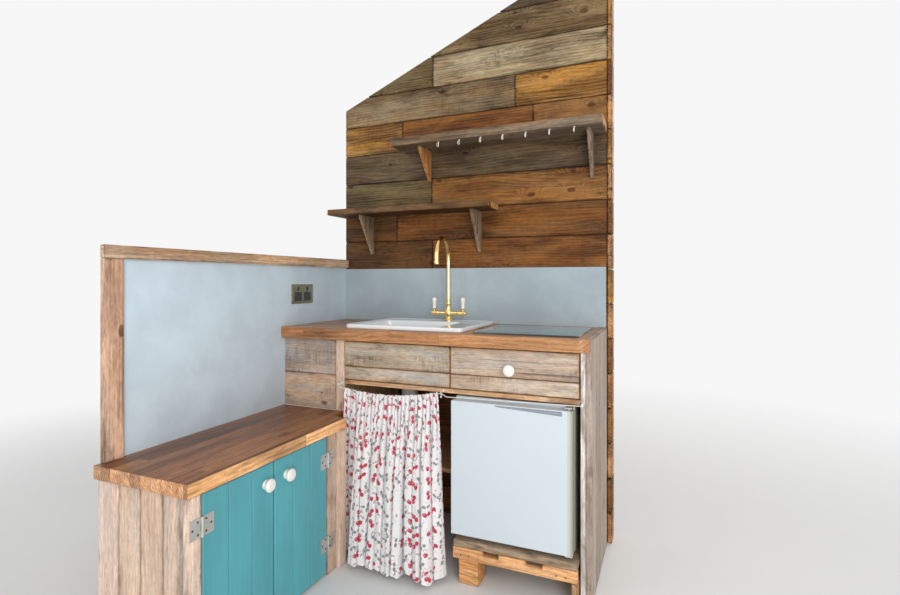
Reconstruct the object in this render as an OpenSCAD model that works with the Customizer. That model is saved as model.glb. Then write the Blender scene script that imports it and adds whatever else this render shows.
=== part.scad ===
// Fitted kitchenette with a plank partition.
// Millimetres, +Z up. The origin is the bottom centre of the whole part.
// Working coordinates: X = 0 is the left wall, Y = 0 the partition's front face, Z = 0 the floor.

/* [Partition] */
// Length of the plank partition
partition_l = 1295; // [1200:1:1500]
// Height of the partition at the left wall
partition_low = 1968; // [1900:1:2100]
// Height of the partition at its right end
partition_high = 2514; // [2300:1:2700]
// Thickness of each partition board
plank_t = 20; // [15:1:25]
// Depth of the partition's studs
stud_d = 43; // [38:1:70]
// Width of the partition's studs
stud_w = 40; // [38:1:60]
// Height of one course of boards with its gap
course_h = 146; // [120:1:160]
// Height of the lowest course
first_course = 125; // [60:1:146]
// Gap between two courses
course_gap = 2; // [1:0.5:4]
// Thickness of the boards on the partition's right end
corner_t = 20; // [12:1:25]

/* [Main run] */
// Height of the main worktop
worktop_h = 900; // [850:1:950]
// Thickness of the main worktop
worktop_t = 45; // [25:1:60]
// Depth of the main worktop
worktop_d = 490; // [460:1:600]
// Radius of the main worktop's rounded corner
worktop_corner_r = 45; // [10:1:80]
// Front face of the fronts and stiles, from the partition
front_y = 465; // [440:1:480]
// Thickness of fronts and stiles
front_t = 18; // [15:1:22]
// Left edge of the left stile, from the partition's right end
left_stile_x = 1028; // [1015:1:1055]
// Width of the left stile
left_stile_w = 42; // [30:1:60]
// Left edge of the end stile, from the partition's right end
end_stile_x = 39.5; // [30:0.5:50]
// Thickness of the end panel's boards
end_panel_t = 22; // [18:1:25]
// Number of boards in the end panel
end_boards = 4; // [3:1:6]
// Depth of the bottom rail's underside below the main worktop's top
rail_z = 225; // [200:1:235]
// Height of the bottom rail
rail_h = 17.5; // [15:0.5:30]
// Depth of the bottom rail
rail_d = 45; // [30:1:60]
// Centre of the gap between the fixed front and the drawer, from the partition's right end
division_x = 517; // [495:1:545]
// Gap between neighbouring fronts
front_gap = 4; // [3:0.5:6]
// Depth of the seam between the two boards of each front below the main worktop's top
front_seam_z = 151.3; // [140:0.1:160]

/* [Sink] */
// Left edge of the sink, from the partition's right end
sink_x = 1000; // [985:1:1015]
// Length of the sink
sink_l = 520; // [480:1:540]
// Depth of the sink
sink_d = 400; // [360:1:410]
// Gap between the sink and the partition
sink_back = 45; // [40:1:60]
// Height of the sink's rim above the worktop
sink_rim_h = 18; // [10:1:22]
// Radius of the sink's corners
sink_r = 22; // [10:1:40]
// Length of the bowl's inside
bowl_l = 370; // [320:1:390]
// Depth of the bowl's inside, front to back
bowl_d = 275; // [220:1:285]
// Height of the bowl's inside
bowl_h = 150; // [110:1:155]
// Wall thickness of the bowl
bowl_t = 11; // [8:1:14]
// Width of the rim left of and in front of the bowl
bowl_margin = 32; // [30:1:40]
// Radius of the bowl's corners
bowl_r = 30; // [20:1:60]
// Radius of the waste hole
waste_r = 30; // [20:1:40]

/* [Tap] */
// Distance of the tap from the partition's right end
tap_x = 683; // [665:1:705]
// Distance of the tap from the partition
tap_y = 88; // [80:1:95]
// Height of the crossbar's centre above the sink's rim
bar_h = 32; // [28:1:40]
// Radius of the crossbar
bar_r = 9; // [7:0.5:11]
// Half length of the fixed crossbar
bar_half = 55; // [45:1:65]
// Length of each lever's hub
hub_l = 30; // [22:1:36]
// Radius of the spout's tube
spout_r = 8.5; // [7:0.5:10]
// Radius of the spout's bend
spout_bend = 97; // [70:1:110]
// Height of the straight tube
spout_h = 233; // [180:1:260]
// Height that the spout's end drops below its bend
spout_drop = 38; // [20:1:60]
// Turn of the spout at rest
spout_turn = 14; // [-40:1:40]
// Length of a porcelain lever
lever_l = 50; // [35:1:60]

/* [Hob] */
// Left edge of the hob's glass, from the partition's right end
hob_x = 440; // [435:1:455]
// Length of the hob's glass
hob_l = 390; // [360:1:400]
// Depth of the hob's glass
hob_d = 360; // [320:1:370]
// Gap between the hob and the partition
hob_back = 75; // [60:1:85]
// Thickness of the hob's glass
hob_t = 5; // [4:0.5:8]
// Width of the glass beyond the hob's tray
hob_lip = 22; // [15:1:30]
// Depth of the hob's tray below the worktop's top
hob_tray_h = 55; // [40:1:60]

/* [Drawer] */
// Height of the drawer's sides
drawer_h = 95; // [70:1:105]
// Length of the drawer's box, front to back
drawer_l = 350; // [300:1:400]
// Wall thickness of the drawer's box
drawer_t = 12; // [9:1:15]
// Diameter of the drawer's knob
knob_d = 38; // [25:1:45]
// Projection of a knob
knob_l = 28; // [20:1:35]

/* [Bay] */
// Height of the bay shelf's top
bay_shelf_z = 378; // [300:1:450]
// Height of the bay shelf's side board
bay_side_h = 95; // [60:1:120]
// Depth of the curtain's wire below the main worktop's top
wire_z = 223; // [216:0.5:224]
// Distance of the wire in front of the fronts
wire_out = 20; // [15:1:30]
// Radius of the wire
wire_r = 1.5; // [1:0.25:2.5]
// Left edge of the curtain, from the partition's right end
curtain_x0 = 973; // [955:1:980]
// Right edge of the curtain, from the partition's right end
curtain_x1 = 530; // [510:1:595]
// Height of the curtain's hem above the floor
curtain_hem = 22; // [10:1:60]
// Forward reach of the curtain's hem beyond its wire
curtain_out = 112; // [40:1:115]

/* [Fridge] */
// Left edge of the fridge, from the partition's right end
fridge_x = 497; // [485:1:500]
// Width of the fridge
fridge_w = 438; // [420:1:438]
// Depth of the fridge's top below the main worktop's top
fridge_top = 233; // [232:1:250]
// Front of the fridge's door, from the partition
fridge_front = 505; // [490:1:510]
// Thickness of the fridge's door
fridge_door_t = 42; // [35:1:45]
// Gap between the fridge's door and its cabinet
fridge_gap = 9; // [9:0.5:12]
// Gap between the fridge and the partition
fridge_back = 55; // [40:1:80]
// Wall thickness of the fridge
fridge_wall = 32; // [25:1:40]
// Height of the fridge's feet
foot_h = 12; // [8:1:20]
// Length of the grip in the door's front
grip_l = 240; // [150:1:260]

/* [Pallet] */
// Height of the pallet's top
pallet_h = 158; // [140:1:170]
// Left edge of the pallet, from the partition's right end
pallet_x = 489; // [480:1:495]
// Length of the pallet
pallet_l = 446; // [440:1:448]
// Thickness of the pallet's deck boards
deck_t = 28; // [18:1:30]
// Height of the notched boards under the deck
notched_h = 41; // [30:1:50]
// Width of a deck board
deck_w = 116; // [90:1:120]
// Width of a block
block_w = 77; // [60:1:90]
// Thickness of the pallet's side planks
side_plank_t = 21; // [15:1:25]

/* [Low cupboard] */
// Height of the low worktop
low_h = 564; // [540:1:600]
// Thickness of the low worktop
low_t = 40; // [25:1:45]
// Depth of the low worktop from the wall
low_d = 375; // [368:1:400]
// Near end of the low worktop, from the partition
low_near = 1270; // [1240:1:1300]
// Overhang of the low worktop at its near end
low_over = 13; // [5:1:20]
// Face of the doors and stiles, from the wall
low_face = 360; // [350:1:365]
// Near edge of the near door's gap, from the partition
doors_near = 1212.5; // [1200:0.5:1220]
// Far edge of the far door's gap, from the partition
doors_far = 649.5; // [640:0.5:660]
// Thickness of a door's boards
door_t = 18; // [15:1:20]
// Gap round each door
door_gap = 3; // [2:0.5:4]
// Depth of the grooves between the doors' boards
groove_d = 3; // [1:0.5:4]
// Height of the inner shelf
low_shelf_z = 285; // [240:1:320]
// Height of the knobs on the doors
door_knob_z = 454; // [400:1:480]
// Diameter of the doors' knobs
door_knob_d = 36; // [25:1:40]
// Height of the upper hinges' centre
hinge_high = 429; // [400:1:440]
// Height of the lower hinges' centre
hinge_low = 122; // [90:1:150]
// Height of a hinge
hinge_h = 55; // [40:1:70]
// Length of a hinge's leaf
leaf_l = 40; // [30:1:42]

/* [Splashbacks] */
// Height of the back splashback's top above the main worktop
splash_top = 255; // [200:1:300]
// Thickness of the splashbacks
splash_t = 6; // [4:1:10]
// Height of the side rail's top above the main worktop
side_top = 303; // [250:1:330]
// Height of the side rail
side_rail_h = 41; // [30:1:60]
// Thickness of the side rail and post
side_rail_t = 20; // [15:1:25]
// Near edge of the side post, from the partition
side_near = 1251; // [1230:1:1260]
// Width of the side post
side_post_w = 60; // [40:1:80]

/* [Shelves] */
// Depth of both shelves
shelf_d = 160; // [120:1:200]
// Height of the upper shelf's top above the main worktop
upper_z = 852; // [800:1:900]
// Thickness of the upper shelf
upper_t = 38; // [20:1:45]
// Left end of the upper shelf, from the partition's right end
upper_x = 945; // [895:1:975]
// Height of the lower shelf's top above the main worktop
lower_z = 542; // [500:1:580]
// Thickness of the lower shelf
lower_t = 28; // [18:1:40]
// Length of the lower shelf
lower_l = 822; // [780:1:850]
// Height of a bracket
bracket_h = 185; // [150:1:220]
// Reach of a bracket
bracket_d = 140; // [100:1:150]
// Thickness of a bracket
bracket_t = 27; // [18:1:35]
// Number of cup hooks
hook_count = 7; // [5:1:9]
// Bend radius of a cup hook
hook_r = 8; // [6:0.5:10]
// Wire radius of a cup hook
hook_wire = 1.6; // [1.2:0.1:2]

/* [Hidden] */
$fn = 48;
eps = 1;
seat = 0.3;
run_clear = 0.05;
clear = 5;

// Positions on the main run follow the partition's right end.
left_stile_at = partition_l - left_stile_x;
division_at = partition_l - division_x;
end_stile_at = partition_l - end_stile_x;
sink_at = partition_l - sink_x;
tap_at = partition_l - tap_x;
hob_at = partition_l - hob_x;
curtain_left = partition_l - curtain_x0;
curtain_right = partition_l - curtain_x1;
fridge_at = partition_l - fridge_x;
pallet_at = partition_l - pallet_x;
upper_at = partition_l - upper_x;

// Heights round the main worktop follow its top.
rail_bottom_z = worktop_h - rail_z;
seam_at = worktop_h - front_seam_z;
wire_at = worktop_h - wire_z;
fridge_top_z = worktop_h - fridge_top;
splash_top_z = worktop_h + splash_top;
side_top_z = worktop_h + side_top;
lower_top_z = worktop_h + lower_z;
upper_top_z = worktop_h + upper_z;

partition_t = plank_t + stud_d + plank_t;
total_x = partition_l + corner_t;
shift_x = -total_x / 2;
shift_y = (low_near - partition_t) / 2;
roof_slope = (partition_high - partition_low) / partition_l;
course_n = ceil((partition_high - first_course) / course_h) + 1;

worktop_z = worktop_h - worktop_t;
left_inner = left_stile_at + left_stile_w;
end_inner = partition_l - end_panel_t;
rail_top = rail_bottom_z + rail_h;
front_bottom = rail_top + 3;
front_top = worktop_z - 6;
front_back = front_y - front_t;
divider_t = 18;
divider_x = division_at - divider_t / 2;
batten_w = 30;
batten_h = 40;
inner_rail_h = 20;

rim_z = worktop_h + sink_rim_h;
sink_inset = 15;
cut_gap = 3;
bowl_x = sink_at + bowl_margin;
bowl_front = sink_back + sink_d - bowl_margin;
bowl_z = rim_z - bowl_h;
waste_x = bowl_x + bowl_l / 2;
waste_y = bowl_front - bowl_d / 2;
waste_flange_r = waste_r + 8;
tailpiece_l = 70;

bar_z = rim_z + bar_h;
tap_hole_r = 17;
spigot_r = 5;
collar_z = bar_z + 24;
hub_r = 10;
pin_r = 4;
pin_l = 14;
lever_in = 15;

hob_cut_gap = 2;

drawer_x0 = division_at + front_gap / 2;
drawer_x1 = end_stile_at - front_gap;
side_clear = 12;
box_x0 = division_at + divider_t / 2 + side_clear;
box_x1 = end_inner - 3 * side_clear;
runner_h = 10;
runner_w = 28;
box_z = rail_top + runner_h + seat;
drawer_floor_t = 6;
knob_x = (drawer_x0 + drawer_x1) / 2 - 6;
knob_z = (front_bottom + front_top) / 2 + 6;

wire_y = front_y + wire_out;
eye_in = 6;
bay_side_in = 3;
bay_side_x = division_at - bay_side_in;
bay_side_t = 18;
bay_shelf_t = 18;
bay_leg = 28;

cabinet_front = fridge_front - fridge_door_t - fridge_gap;
fridge_z = pallet_h + foot_h;
fridge_right = fridge_at + fridge_w;
door_bottom_z = fridge_z + 5;
door_top_z = fridge_top_z - 7;
fridge_pin_x = fridge_right - 14;
fridge_pin_y = fridge_front - 18;
hinge_plate_t = 3;
fridge_base = 58;
fridge_pin_r = 3;
fridge_pin_in = 12;
cavity_x0 = fridge_at + fridge_wall;
cavity_x1 = fridge_right - fridge_wall;
cavity_back = fridge_back + 45;
cavity_z0 = fridge_z + fridge_base;
cavity_z1 = fridge_top_z - fridge_wall;
foot_r = 14;

deck_n = 4;
pallet_front = fridge_front - 1;
deck_pitch = (pallet_front - deck_w) / (deck_n - 1);
notched_z = pallet_h - deck_t - notched_h;
notched_t = 22;
block_d = 90;

low_z = low_h - low_t;
panel_near = low_near - low_over;
post_far = 547;
post_w = 45;
carcass_x = low_face - door_t;
return_x = left_inner - 6;
low_board_t = 18;
stile_in = 20;
ledge_t = 16;
ledge_w = 60;
door_bottom = 10;
door_top = low_z - 6;
doors_mid = (doors_near + doors_far) / 2;
leaf_t = 2;
knuckle_r = 4;
door_pin_r = 2;
knuckle_x = low_face + knuckle_r;
shelf_front_x = carcass_x - ledge_t - clear - clear;

bracket_in = 113;
bracket_end = 79;
bracket_low = 150;
bracket_low_end = 109;
bracket_upper_x = [upper_at + bracket_in, partition_l - bracket_end];
bracket_lower_x = [bracket_low, lower_l - bracket_low_end];
hook_in = 238;
hook_end = 112;
hook_first = upper_at + hook_in;
hook_last = partition_l - hook_end;
hook_y = shelf_d - 14;
hook_drop = 16;

module place() {
    translate([shift_x, shift_y, 0])
        children();
}

// A box from corner to corner, with y counted forward from the partition.
module slab(x0, x1, y_far, y_near, z0, z1) {
    translate([x0, -y_near, z0])
        cube([x1 - x0, y_near - y_far, z1 - z0]);
}

// A box with rounded upright edges.
module rounded_slab(x0, x1, y_far, y_near, z0, z1, r) {
    slab(x0 + r, x1 - r, y_far, y_near, z0, z1);
    slab(x0, x1, y_far + r, y_near - r, z0, z1);
    for (x = [x0 + r, x1 - r])
        for (y = [y_far + r, y_near - r])
            translate([x, -y, z0])
                cylinder(r = r, h = z1 - z0);
}

module along_x(x, y, z, r, l) {
    translate([x, -y, z])
        rotate([0, 90, 0])
            cylinder(r = r, h = l);
}

module along_y(x, y_near, z, r, l) {
    translate([x, -y_near, z])
        rotate([-90, 0, 0])
            cylinder(r = r, h = l);
}

module upright(x, y, z, r, l) {
    translate([x, -y, z])
        cylinder(r = r, h = l);
}

// The partition's outline under the roof's slope, from y0 to y0 + t behind its front face.
module gable(y0, t, inset = 0) {
    translate([0, y0 + t, 0])
        rotate([90, 0, 0])
            linear_extrude(t)
                polygon([
                    [0, 0],
                    [partition_l, 0],
                    [partition_l, partition_high - inset],
                    [0, partition_low - inset]
                ]);
}

function course_z(i) = i == 0 ? 0 : first_course + (i - 1) * course_h;
function course_top(i) = first_course + i * course_h - course_gap;

module courses(y0, t) {
    for (i = [0:course_n - 1])
        intersection() {
            gable(y0, t);
            translate([-eps, y0 - eps, course_z(i)])
                cube([partition_l + 2 * eps, t + 2 * eps, course_top(i) - course_z(i)]);
        }
}

module partition_front() {
    color("peru")
        place()
            courses(0, plank_t);
}

module partition_back() {
    color("tan")
        place()
            courses(plank_t + stud_d, plank_t);
}

module partition_frame() {
    bay = (partition_l - stud_w) / 3;
    color("burlywood")
        place()
            union() {
                for (i = [0:3])
                    intersection() {
                        gable(plank_t, stud_d);
                        translate([i * bay, plank_t, 0])
                            cube([stud_w, stud_d, partition_high]);
                    }
                translate([0, plank_t, 0])
                    cube([partition_l, stud_d, stud_w]);
                difference() {
                    gable(plank_t, stud_d);
                    translate([0, 0, -eps])
                        gable(plank_t - eps, stud_d + 2 * eps, stud_w);
                }
            }
}

module corner_boards() {
    top = partition_high;
    color("sienna")
        place()
            for (i = [0:course_n - 1])
                if (course_z(i) < top - course_gap)
                    translate([partition_l, 0, course_z(i)])
                        cube([corner_t, partition_t, min(course_top(i), top) - course_z(i)]);
}

module splash_back() {
    color("slategray")
        place()
            slab(splash_t, partition_l - 4, 0, splash_t, worktop_h, splash_top_z);
}

module splash_side() {
    rail_bottom = side_top_z - side_rail_h;
    color("slategray")
        place()
            union() {
                slab(0, splash_t, 0, side_near - side_post_w, worktop_h, rail_bottom);
                slab(0, splash_t, worktop_d, side_near - side_post_w, low_h, worktop_h);
            }
}

module splash_trim() {
    rail_bottom = side_top_z - side_rail_h;
    post_far_y = side_near - side_post_w;
    color("saddlebrown")
        place()
            union() {
                slab(0, side_rail_t, post_far_y, side_near, low_h, side_top_z);
                slab(0, side_rail_t, 0, post_far_y, rail_bottom, side_top_z);
            }
}

module socket() {
    plate_l = 146;
    plate_h = 86;
    plate_t = 5;
    rocker = 12;
    far = 281;
    plate_up = 94;
    z = worktop_h + plate_up;
    color("darkkhaki")
        place()
            union() {
                slab(splash_t, splash_t + plate_t, far, far + plate_l, z, z + plate_h);
                for (y = [far + plate_l / 2 - 34, far + plate_l / 2 + 22])
                    slab(splash_t, splash_t + plate_t + 2, y, y + rocker, z + 56, z + 56 + rocker + 6);
            }
}

module shelf_upper() {
    color("saddlebrown")
        place()
            slab(upper_at, partition_l, 0, shelf_d, upper_top_z - upper_t, upper_top_z);
}

module shelf_lower() {
    color("saddlebrown")
        place()
            slab(0, lower_l, 0, shelf_d, lower_top_z - lower_t, lower_top_z);
}

module bracket(x, z) {
    nose = 22;
    translate([x, 0, z])
        rotate([90, 0, 90])
            linear_extrude(bracket_t)
                polygon([
                    [0, 0],
                    [0, -bracket_h],
                    [-nose / 2, -bracket_h],
                    [-bracket_d, -nose],
                    [-bracket_d, 0]
                ]);
}

module brackets_upper() {
    color("sienna")
        place()
            for (x = bracket_upper_x)
                bracket(x, upper_top_z - upper_t);
}

module brackets_lower() {
    color("sienna")
        place()
            for (x = bracket_lower_x)
                bracket(x, lower_top_z - lower_t);
}

module cup_hook(x) {
    top = upper_top_z - upper_t;
    sweep = 235;
    translate([x, -hook_y, top])
        union() {
            translate([0, 0, -hook_drop])
                cylinder(r = hook_wire, h = hook_drop);
            translate([0, 0, -3])
                cylinder(r = 3 * hook_wire, h = 3);
            translate([0, -hook_r, -hook_drop])
                rotate([90, 0, 90])
                    rotate([0, 0, -sweep])
                        rotate_extrude(angle = sweep)
                            translate([hook_r, 0])
                                circle(r = hook_wire);
        }
}

module cup_hooks() {
    step = (hook_last - hook_first) / (hook_count - 1);
    color("silver")
        place()
            for (i = [0:hook_count - 1])
                cup_hook(hook_first + i * step);
}

module worktop() {
    r = worktop_corner_r;
    right = partition_l - 2;
    cut0 = sink_at + sink_inset - cut_gap;
    cut1 = sink_at + sink_l - sink_inset + cut_gap;
    color("chocolate")
        place()
            difference() {
                union() {
                    slab(0, right - r, 0, worktop_d, worktop_z, worktop_h);
                    slab(right - r - eps, right, 0, worktop_d - r, worktop_z, worktop_h);
                    upright(right - r, worktop_d - r, worktop_z, r, worktop_t);
                }
                slab(end_inner, right + eps, -eps, front_y, worktop_z - eps, worktop_h + eps);
                slab(cut0, cut1, sink_back + sink_inset - cut_gap,
                    sink_back + sink_d - sink_inset + cut_gap,
                    worktop_z - eps, worktop_h + eps);
                slab(hob_at + hob_lip - hob_cut_gap, hob_at + hob_l - hob_lip + hob_cut_gap,
                    hob_back + hob_lip - hob_cut_gap, hob_back + hob_d - hob_lip + hob_cut_gap,
                    worktop_z - eps, worktop_h + eps);
            }
}

module sink() {
    body_z = worktop_h - 12;
    color("white")
        place()
            difference() {
                union() {
                    rounded_slab(sink_at, sink_at + sink_l, sink_back, sink_back + sink_d, worktop_h,
                        rim_z, sink_r);
                    rounded_slab(sink_at + sink_inset, sink_at + sink_l - sink_inset,
                        sink_back + sink_inset, sink_back + sink_d - sink_inset, body_z,
                            worktop_h + eps, sink_r);
                }
                rounded_slab(bowl_x, bowl_x + bowl_l, bowl_front - bowl_d, bowl_front, body_z - eps,
                    rim_z + eps, bowl_r);
                upright(tap_at, tap_y, body_z - eps, tap_hole_r, rim_z - body_z + 2 * eps);
            }
}

module bowl_shell() {
    body_z = worktop_h - 12;
    color("white")
        place()
            difference() {
                rounded_slab(bowl_x - bowl_t, bowl_x + bowl_l + bowl_t, bowl_front - bowl_d - bowl_t,
                    bowl_front + bowl_t, bowl_z - bowl_t, body_z, bowl_r + bowl_t);
                rounded_slab(bowl_x, bowl_x + bowl_l, bowl_front - bowl_d, bowl_front, bowl_z,
                    body_z + eps, bowl_r);
                upright(waste_x, waste_y, bowl_z - bowl_t - eps, waste_r, bowl_t + 2 * eps);
            }
}

module sink_waste() {
    flange_t = 3;
    neck_r = waste_r - seat;
    color("silver")
        place()
            difference() {
                union() {
                    upright(waste_x, waste_y, bowl_z + seat, waste_flange_r, flange_t);
                    upright(waste_x, waste_y, bowl_z - bowl_t - tailpiece_l, neck_r,
                        bowl_t + tailpiece_l + flange_t);
                }
                upright(waste_x, waste_y, bowl_z - 6, neck_r - 4, flange_t + 12);
                upright(waste_x, waste_y, bowl_z - bowl_t - tailpiece_l - eps, neck_r - 8,
                    bowl_t + tailpiece_l + 12);
            }
}

module sink_trap() {
    bottle_r = 34;
    bottle_h = 80;
    cap_h = 10;
    pipe_r = 17;
    pipe_drop = 22;
    wall = 3;
    top = bowl_z - bowl_t - tailpiece_l;
    bottom = top - bottle_h;
    color("white")
        place()
            difference() {
                union() {
                    upright(waste_x, waste_y, bottom, bottle_r, bottle_h);
                    upright(waste_x, waste_y, bottom - cap_h, bottle_r - 8, cap_h + eps);
                    along_y(waste_x, waste_y, top - pipe_drop, pipe_r, waste_y);
                }
                upright(waste_x, waste_y, bottom + wall, bottle_r - wall, bottle_h - 2 * wall);
                upright(waste_x, waste_y, top - 2 * wall, waste_r - 9, 3 * wall);
            }
}

module hob_glass() {
    color("darkslategray")
        place()
            rounded_slab(hob_at, hob_at + hob_l, hob_back, hob_back + hob_d, worktop_h,
                worktop_h + hob_t, 6);
}

module hob_tray() {
    color("dimgray")
        place()
            slab(hob_at + hob_lip, hob_at + hob_l - hob_lip, hob_back + hob_lip, hob_back + hob_d - hob_lip,
                worktop_h - hob_tray_h, worktop_h);
}

module face_frame() {
    color("burlywood")
        place()
            union() {
                slab(left_stile_at, left_inner, front_back, front_y, 0, worktop_z);
                slab(end_stile_at, end_inner, front_back, front_y, 0, worktop_z);
                slab(left_inner, end_stile_at, front_y - rail_d, front_y, rail_bottom_z, rail_top);
                slab(0, left_stile_at, front_back, front_y, low_h, worktop_z);
            }
}

module fixed_front() {
    x1 = division_at - front_gap / 2;
    color("tan")
        place()
            union() {
                slab(left_inner + 1, x1, front_back, front_y, seam_at + 1, front_top);
                slab(left_inner + 1, x1, front_back, front_y, front_bottom, seam_at - 1);
                slab(left_inner + 30, x1 - 20, front_back - 8, front_back, front_bottom + 10,
                    front_top - 20);
            }
}

module end_panel() {
    w = front_y / end_boards;
    color("tan")
        place()
            for (i = [0:end_boards - 1])
                slab(end_inner, partition_l, i * w + course_gap / 2, (i + 1) * w - course_gap / 2, 0,
                    worktop_h);
}

module run_sides() {
    color("burlywood")
        place()
            union() {
                slab(left_inner - divider_t, left_inner, 0, front_back, 0, worktop_z);
                slab(left_inner, end_inner, front_back - front_t, front_back,
                    worktop_z - inner_rail_h, worktop_z);
                slab(divider_x, divider_x + divider_t, batten_w, front_back - front_t, rail_top, worktop_z);
                slab(left_inner, end_inner, 0, batten_w, worktop_z - batten_h, worktop_z);
                slab(divider_x, divider_x + divider_t, 0, batten_w + eps, rail_top,
                    worktop_z - batten_h + eps);
                slab(divider_x - divider_t, divider_x, front_y - rail_d - divider_t, front_y - rail_d,
                    rail_bottom_z, rail_top + divider_t);
            }
}

module drawer_runners() {
    guide_gap = 3;
    guide_h = 24;
    color("burlywood")
        place()
            union() {
                slab(divider_x + divider_t, divider_x + divider_t + runner_w, 0, front_back - 2,
                    rail_top, rail_top + runner_h);
                slab(divider_x + divider_t, box_x0 - guide_gap, 0, front_back - 2, rail_top,
                    rail_top + runner_h + guide_h);
                slab(box_x1 - runner_w / 2, end_inner, 0, front_back - 2, rail_top, rail_top + runner_h);
                slab(box_x1 + guide_gap, end_inner, 0, front_back - 2, rail_top,
                    rail_top + runner_h + guide_h);
            }
}

module drawer_front() {
    color("tan")
        place()
            union() {
                slab(drawer_x0, drawer_x1, front_back, front_y, seam_at + 1, front_top);
                slab(drawer_x0, drawer_x1, front_back, front_y, front_bottom, seam_at - 1);
                slab(drawer_x0 + 30, drawer_x1 - 30, front_back, front_y - 6, seam_at - 2, seam_at + 2);
            }
}

module drawer_box() {
    y_far = front_back - drawer_l;
    color("wheat")
        place()
            difference() {
                slab(box_x0, box_x1, y_far, front_back, box_z, box_z + drawer_h);
                slab(box_x0 + drawer_t, box_x1 - drawer_t, y_far + drawer_t, front_back - drawer_t,
                    box_z + drawer_floor_t, box_z + drawer_h + eps);
            }
}

// A turned knob on an axis along +Z, its foot at z = 0.
module knob(d, l) {
    neck_r = 0.24 * d;
    head_l = 0.55 * l;
    union() {
        cylinder(r = 0.36 * d, h = 3);
        cylinder(r = neck_r, h = l - head_l / 2);
        intersection() {
            translate([0, 0, l - head_l])
                cylinder(r = d / 2, h = head_l);
            translate([0, 0, l - 0.62 * d])
                sphere(r = 0.62 * d);
        }
    }
}

module drawer_knob() {
    color("ivory")
        place()
            translate([knob_x, -front_y, knob_z])
                rotate([90, 0, 0])
                    knob(knob_d, knob_l);
}

module bay_shelf() {
    z0 = bay_shelf_z - bay_shelf_t;
    front = 425;
    leg_y = 250;
    cleat_in = 60;
    color("peru")
        place()
            union() {
                slab(left_inner, bay_side_x, 0, front, z0, bay_shelf_z);
                slab(bay_side_x, bay_side_x + bay_side_t, 0, front, z0, z0 + bay_side_h);
                slab(bay_side_x - bay_leg, bay_side_x, leg_y, leg_y + bay_leg, 0, z0 + eps);
                slab(left_inner, left_inner + bay_side_t, cleat_in, front - cleat_in, z0 - bay_leg, z0 + eps);
            }
}

module curtain() {
    top = wire_at + 13;
    mid = 0.55 * wire_at;
    half = 11.5;
    clear_x = max(curtain_left, low_d + 8);
    heading_h = 60;
    color("mistyrose")
        place()
            difference() {
                union() {
                    translate([curtain_left, 0, 0])
                        rotate([90, 0, 90])
                            linear_extrude(curtain_right - curtain_left)
                                polygon([
                                    [-wire_y + half, top],
                                    [-wire_y - half, top],
                                    [-wire_y - half - 8, wire_at - heading_h],
                                    [-wire_y - half - 24, curtain_hem],
                                    [-wire_y, curtain_hem],
                                    [-wire_y + half, wire_at - heading_h]
                                ]);
                    translate([clear_x, 0, 0])
                        rotate([90, 0, 90])
                            linear_extrude(curtain_right - clear_x)
                                polygon([
                                    [-wire_y, top - 40],
                                    [-wire_y - half, top - 40],
                                    [-wire_y - 48, mid],
                                    [-wire_y - curtain_out, curtain_hem],
                                    [-wire_y, curtain_hem]
                                ]);
                }
                along_x(curtain_left - eps, wire_y, wire_at, wire_r + seat,
                    curtain_right - curtain_left + 2 * eps);
            }
}

module wire_eye(x) {
    ring = 4;
    along_y(x, wire_y - ring, wire_at, wire_r, wire_out - ring);
    translate([x, -wire_y, wire_at])
        rotate([0, 90, 0])
            rotate_extrude()
                translate([ring, 0])
                    circle(r = wire_r);
    along_y(x, front_y + 2, wire_at, 3 * wire_r, 2);
}

module curtain_wire() {
    x0 = left_inner - 12;
    x1 = end_stile_at + eye_in;
    color("gainsboro")
        place()
            union() {
                wire_eye(x0);
                wire_eye(x1);
                along_x(x0 - 6, wire_y, wire_at, wire_r, x1 - x0 + 12);
                along_x(x0 - 6, wire_y, wire_at, 2 * wire_r, 4);
                along_x(x1 + 2, wire_y, wire_at, 2 * wire_r, 4);
                along_x(x0 - 3, wire_y, wire_at, 3, 6);
                along_x(x1 - 3, wire_y, wire_at, 3, 6);
            }
}

module fridge_cabinet() {
    color("whitesmoke")
        place()
            difference() {
                rounded_slab(fridge_at, fridge_right, fridge_back, cabinet_front, fridge_z,
                    fridge_top_z, 4);
                slab(cavity_x0, cavity_x1, cavity_back, cabinet_front + eps, cavity_z0, cavity_z1);
            }
}

module fridge_shelves() {
    shelf_t = 4;
    gap = (cavity_z1 - cavity_z0) / 3;
    color("lightcyan")
        place()
            for (i = [1:2])
                slab(cavity_x0 + seat, cavity_x1 - seat, cavity_back + seat, cabinet_front - 25,
                    cavity_z0 + i * gap, cavity_z0 + i * gap + shelf_t);
}

module fridge_feet() {
    inset = 35;
    color("black")
        place()
            for (x = [fridge_at + inset, fridge_right - inset])
                for (y = [fridge_back + inset, cabinet_front - inset])
                    upright(x, y, pallet_h, foot_r, foot_h);
}

module fridge_hinges() {
    reach = 12;
    color("gray")
        place()
            union() {
                slab(fridge_pin_x - reach, fridge_pin_x + reach, cabinet_front - 2 * reach,
                    fridge_pin_y + reach,
                    fridge_top_z, fridge_top_z + hinge_plate_t);
                upright(fridge_pin_x, fridge_pin_y, door_top_z - fridge_pin_in, fridge_pin_r,
                    fridge_top_z - door_top_z + fridge_pin_in + eps);
                slab(fridge_pin_x - reach, fridge_pin_x + reach, cabinet_front, fridge_pin_y + reach,
                    fridge_z, fridge_z + hinge_plate_t);
                upright(fridge_pin_x, fridge_pin_y, fridge_z, fridge_pin_r,
                    door_bottom_z - fridge_z + fridge_pin_in);
            }
}

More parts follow.
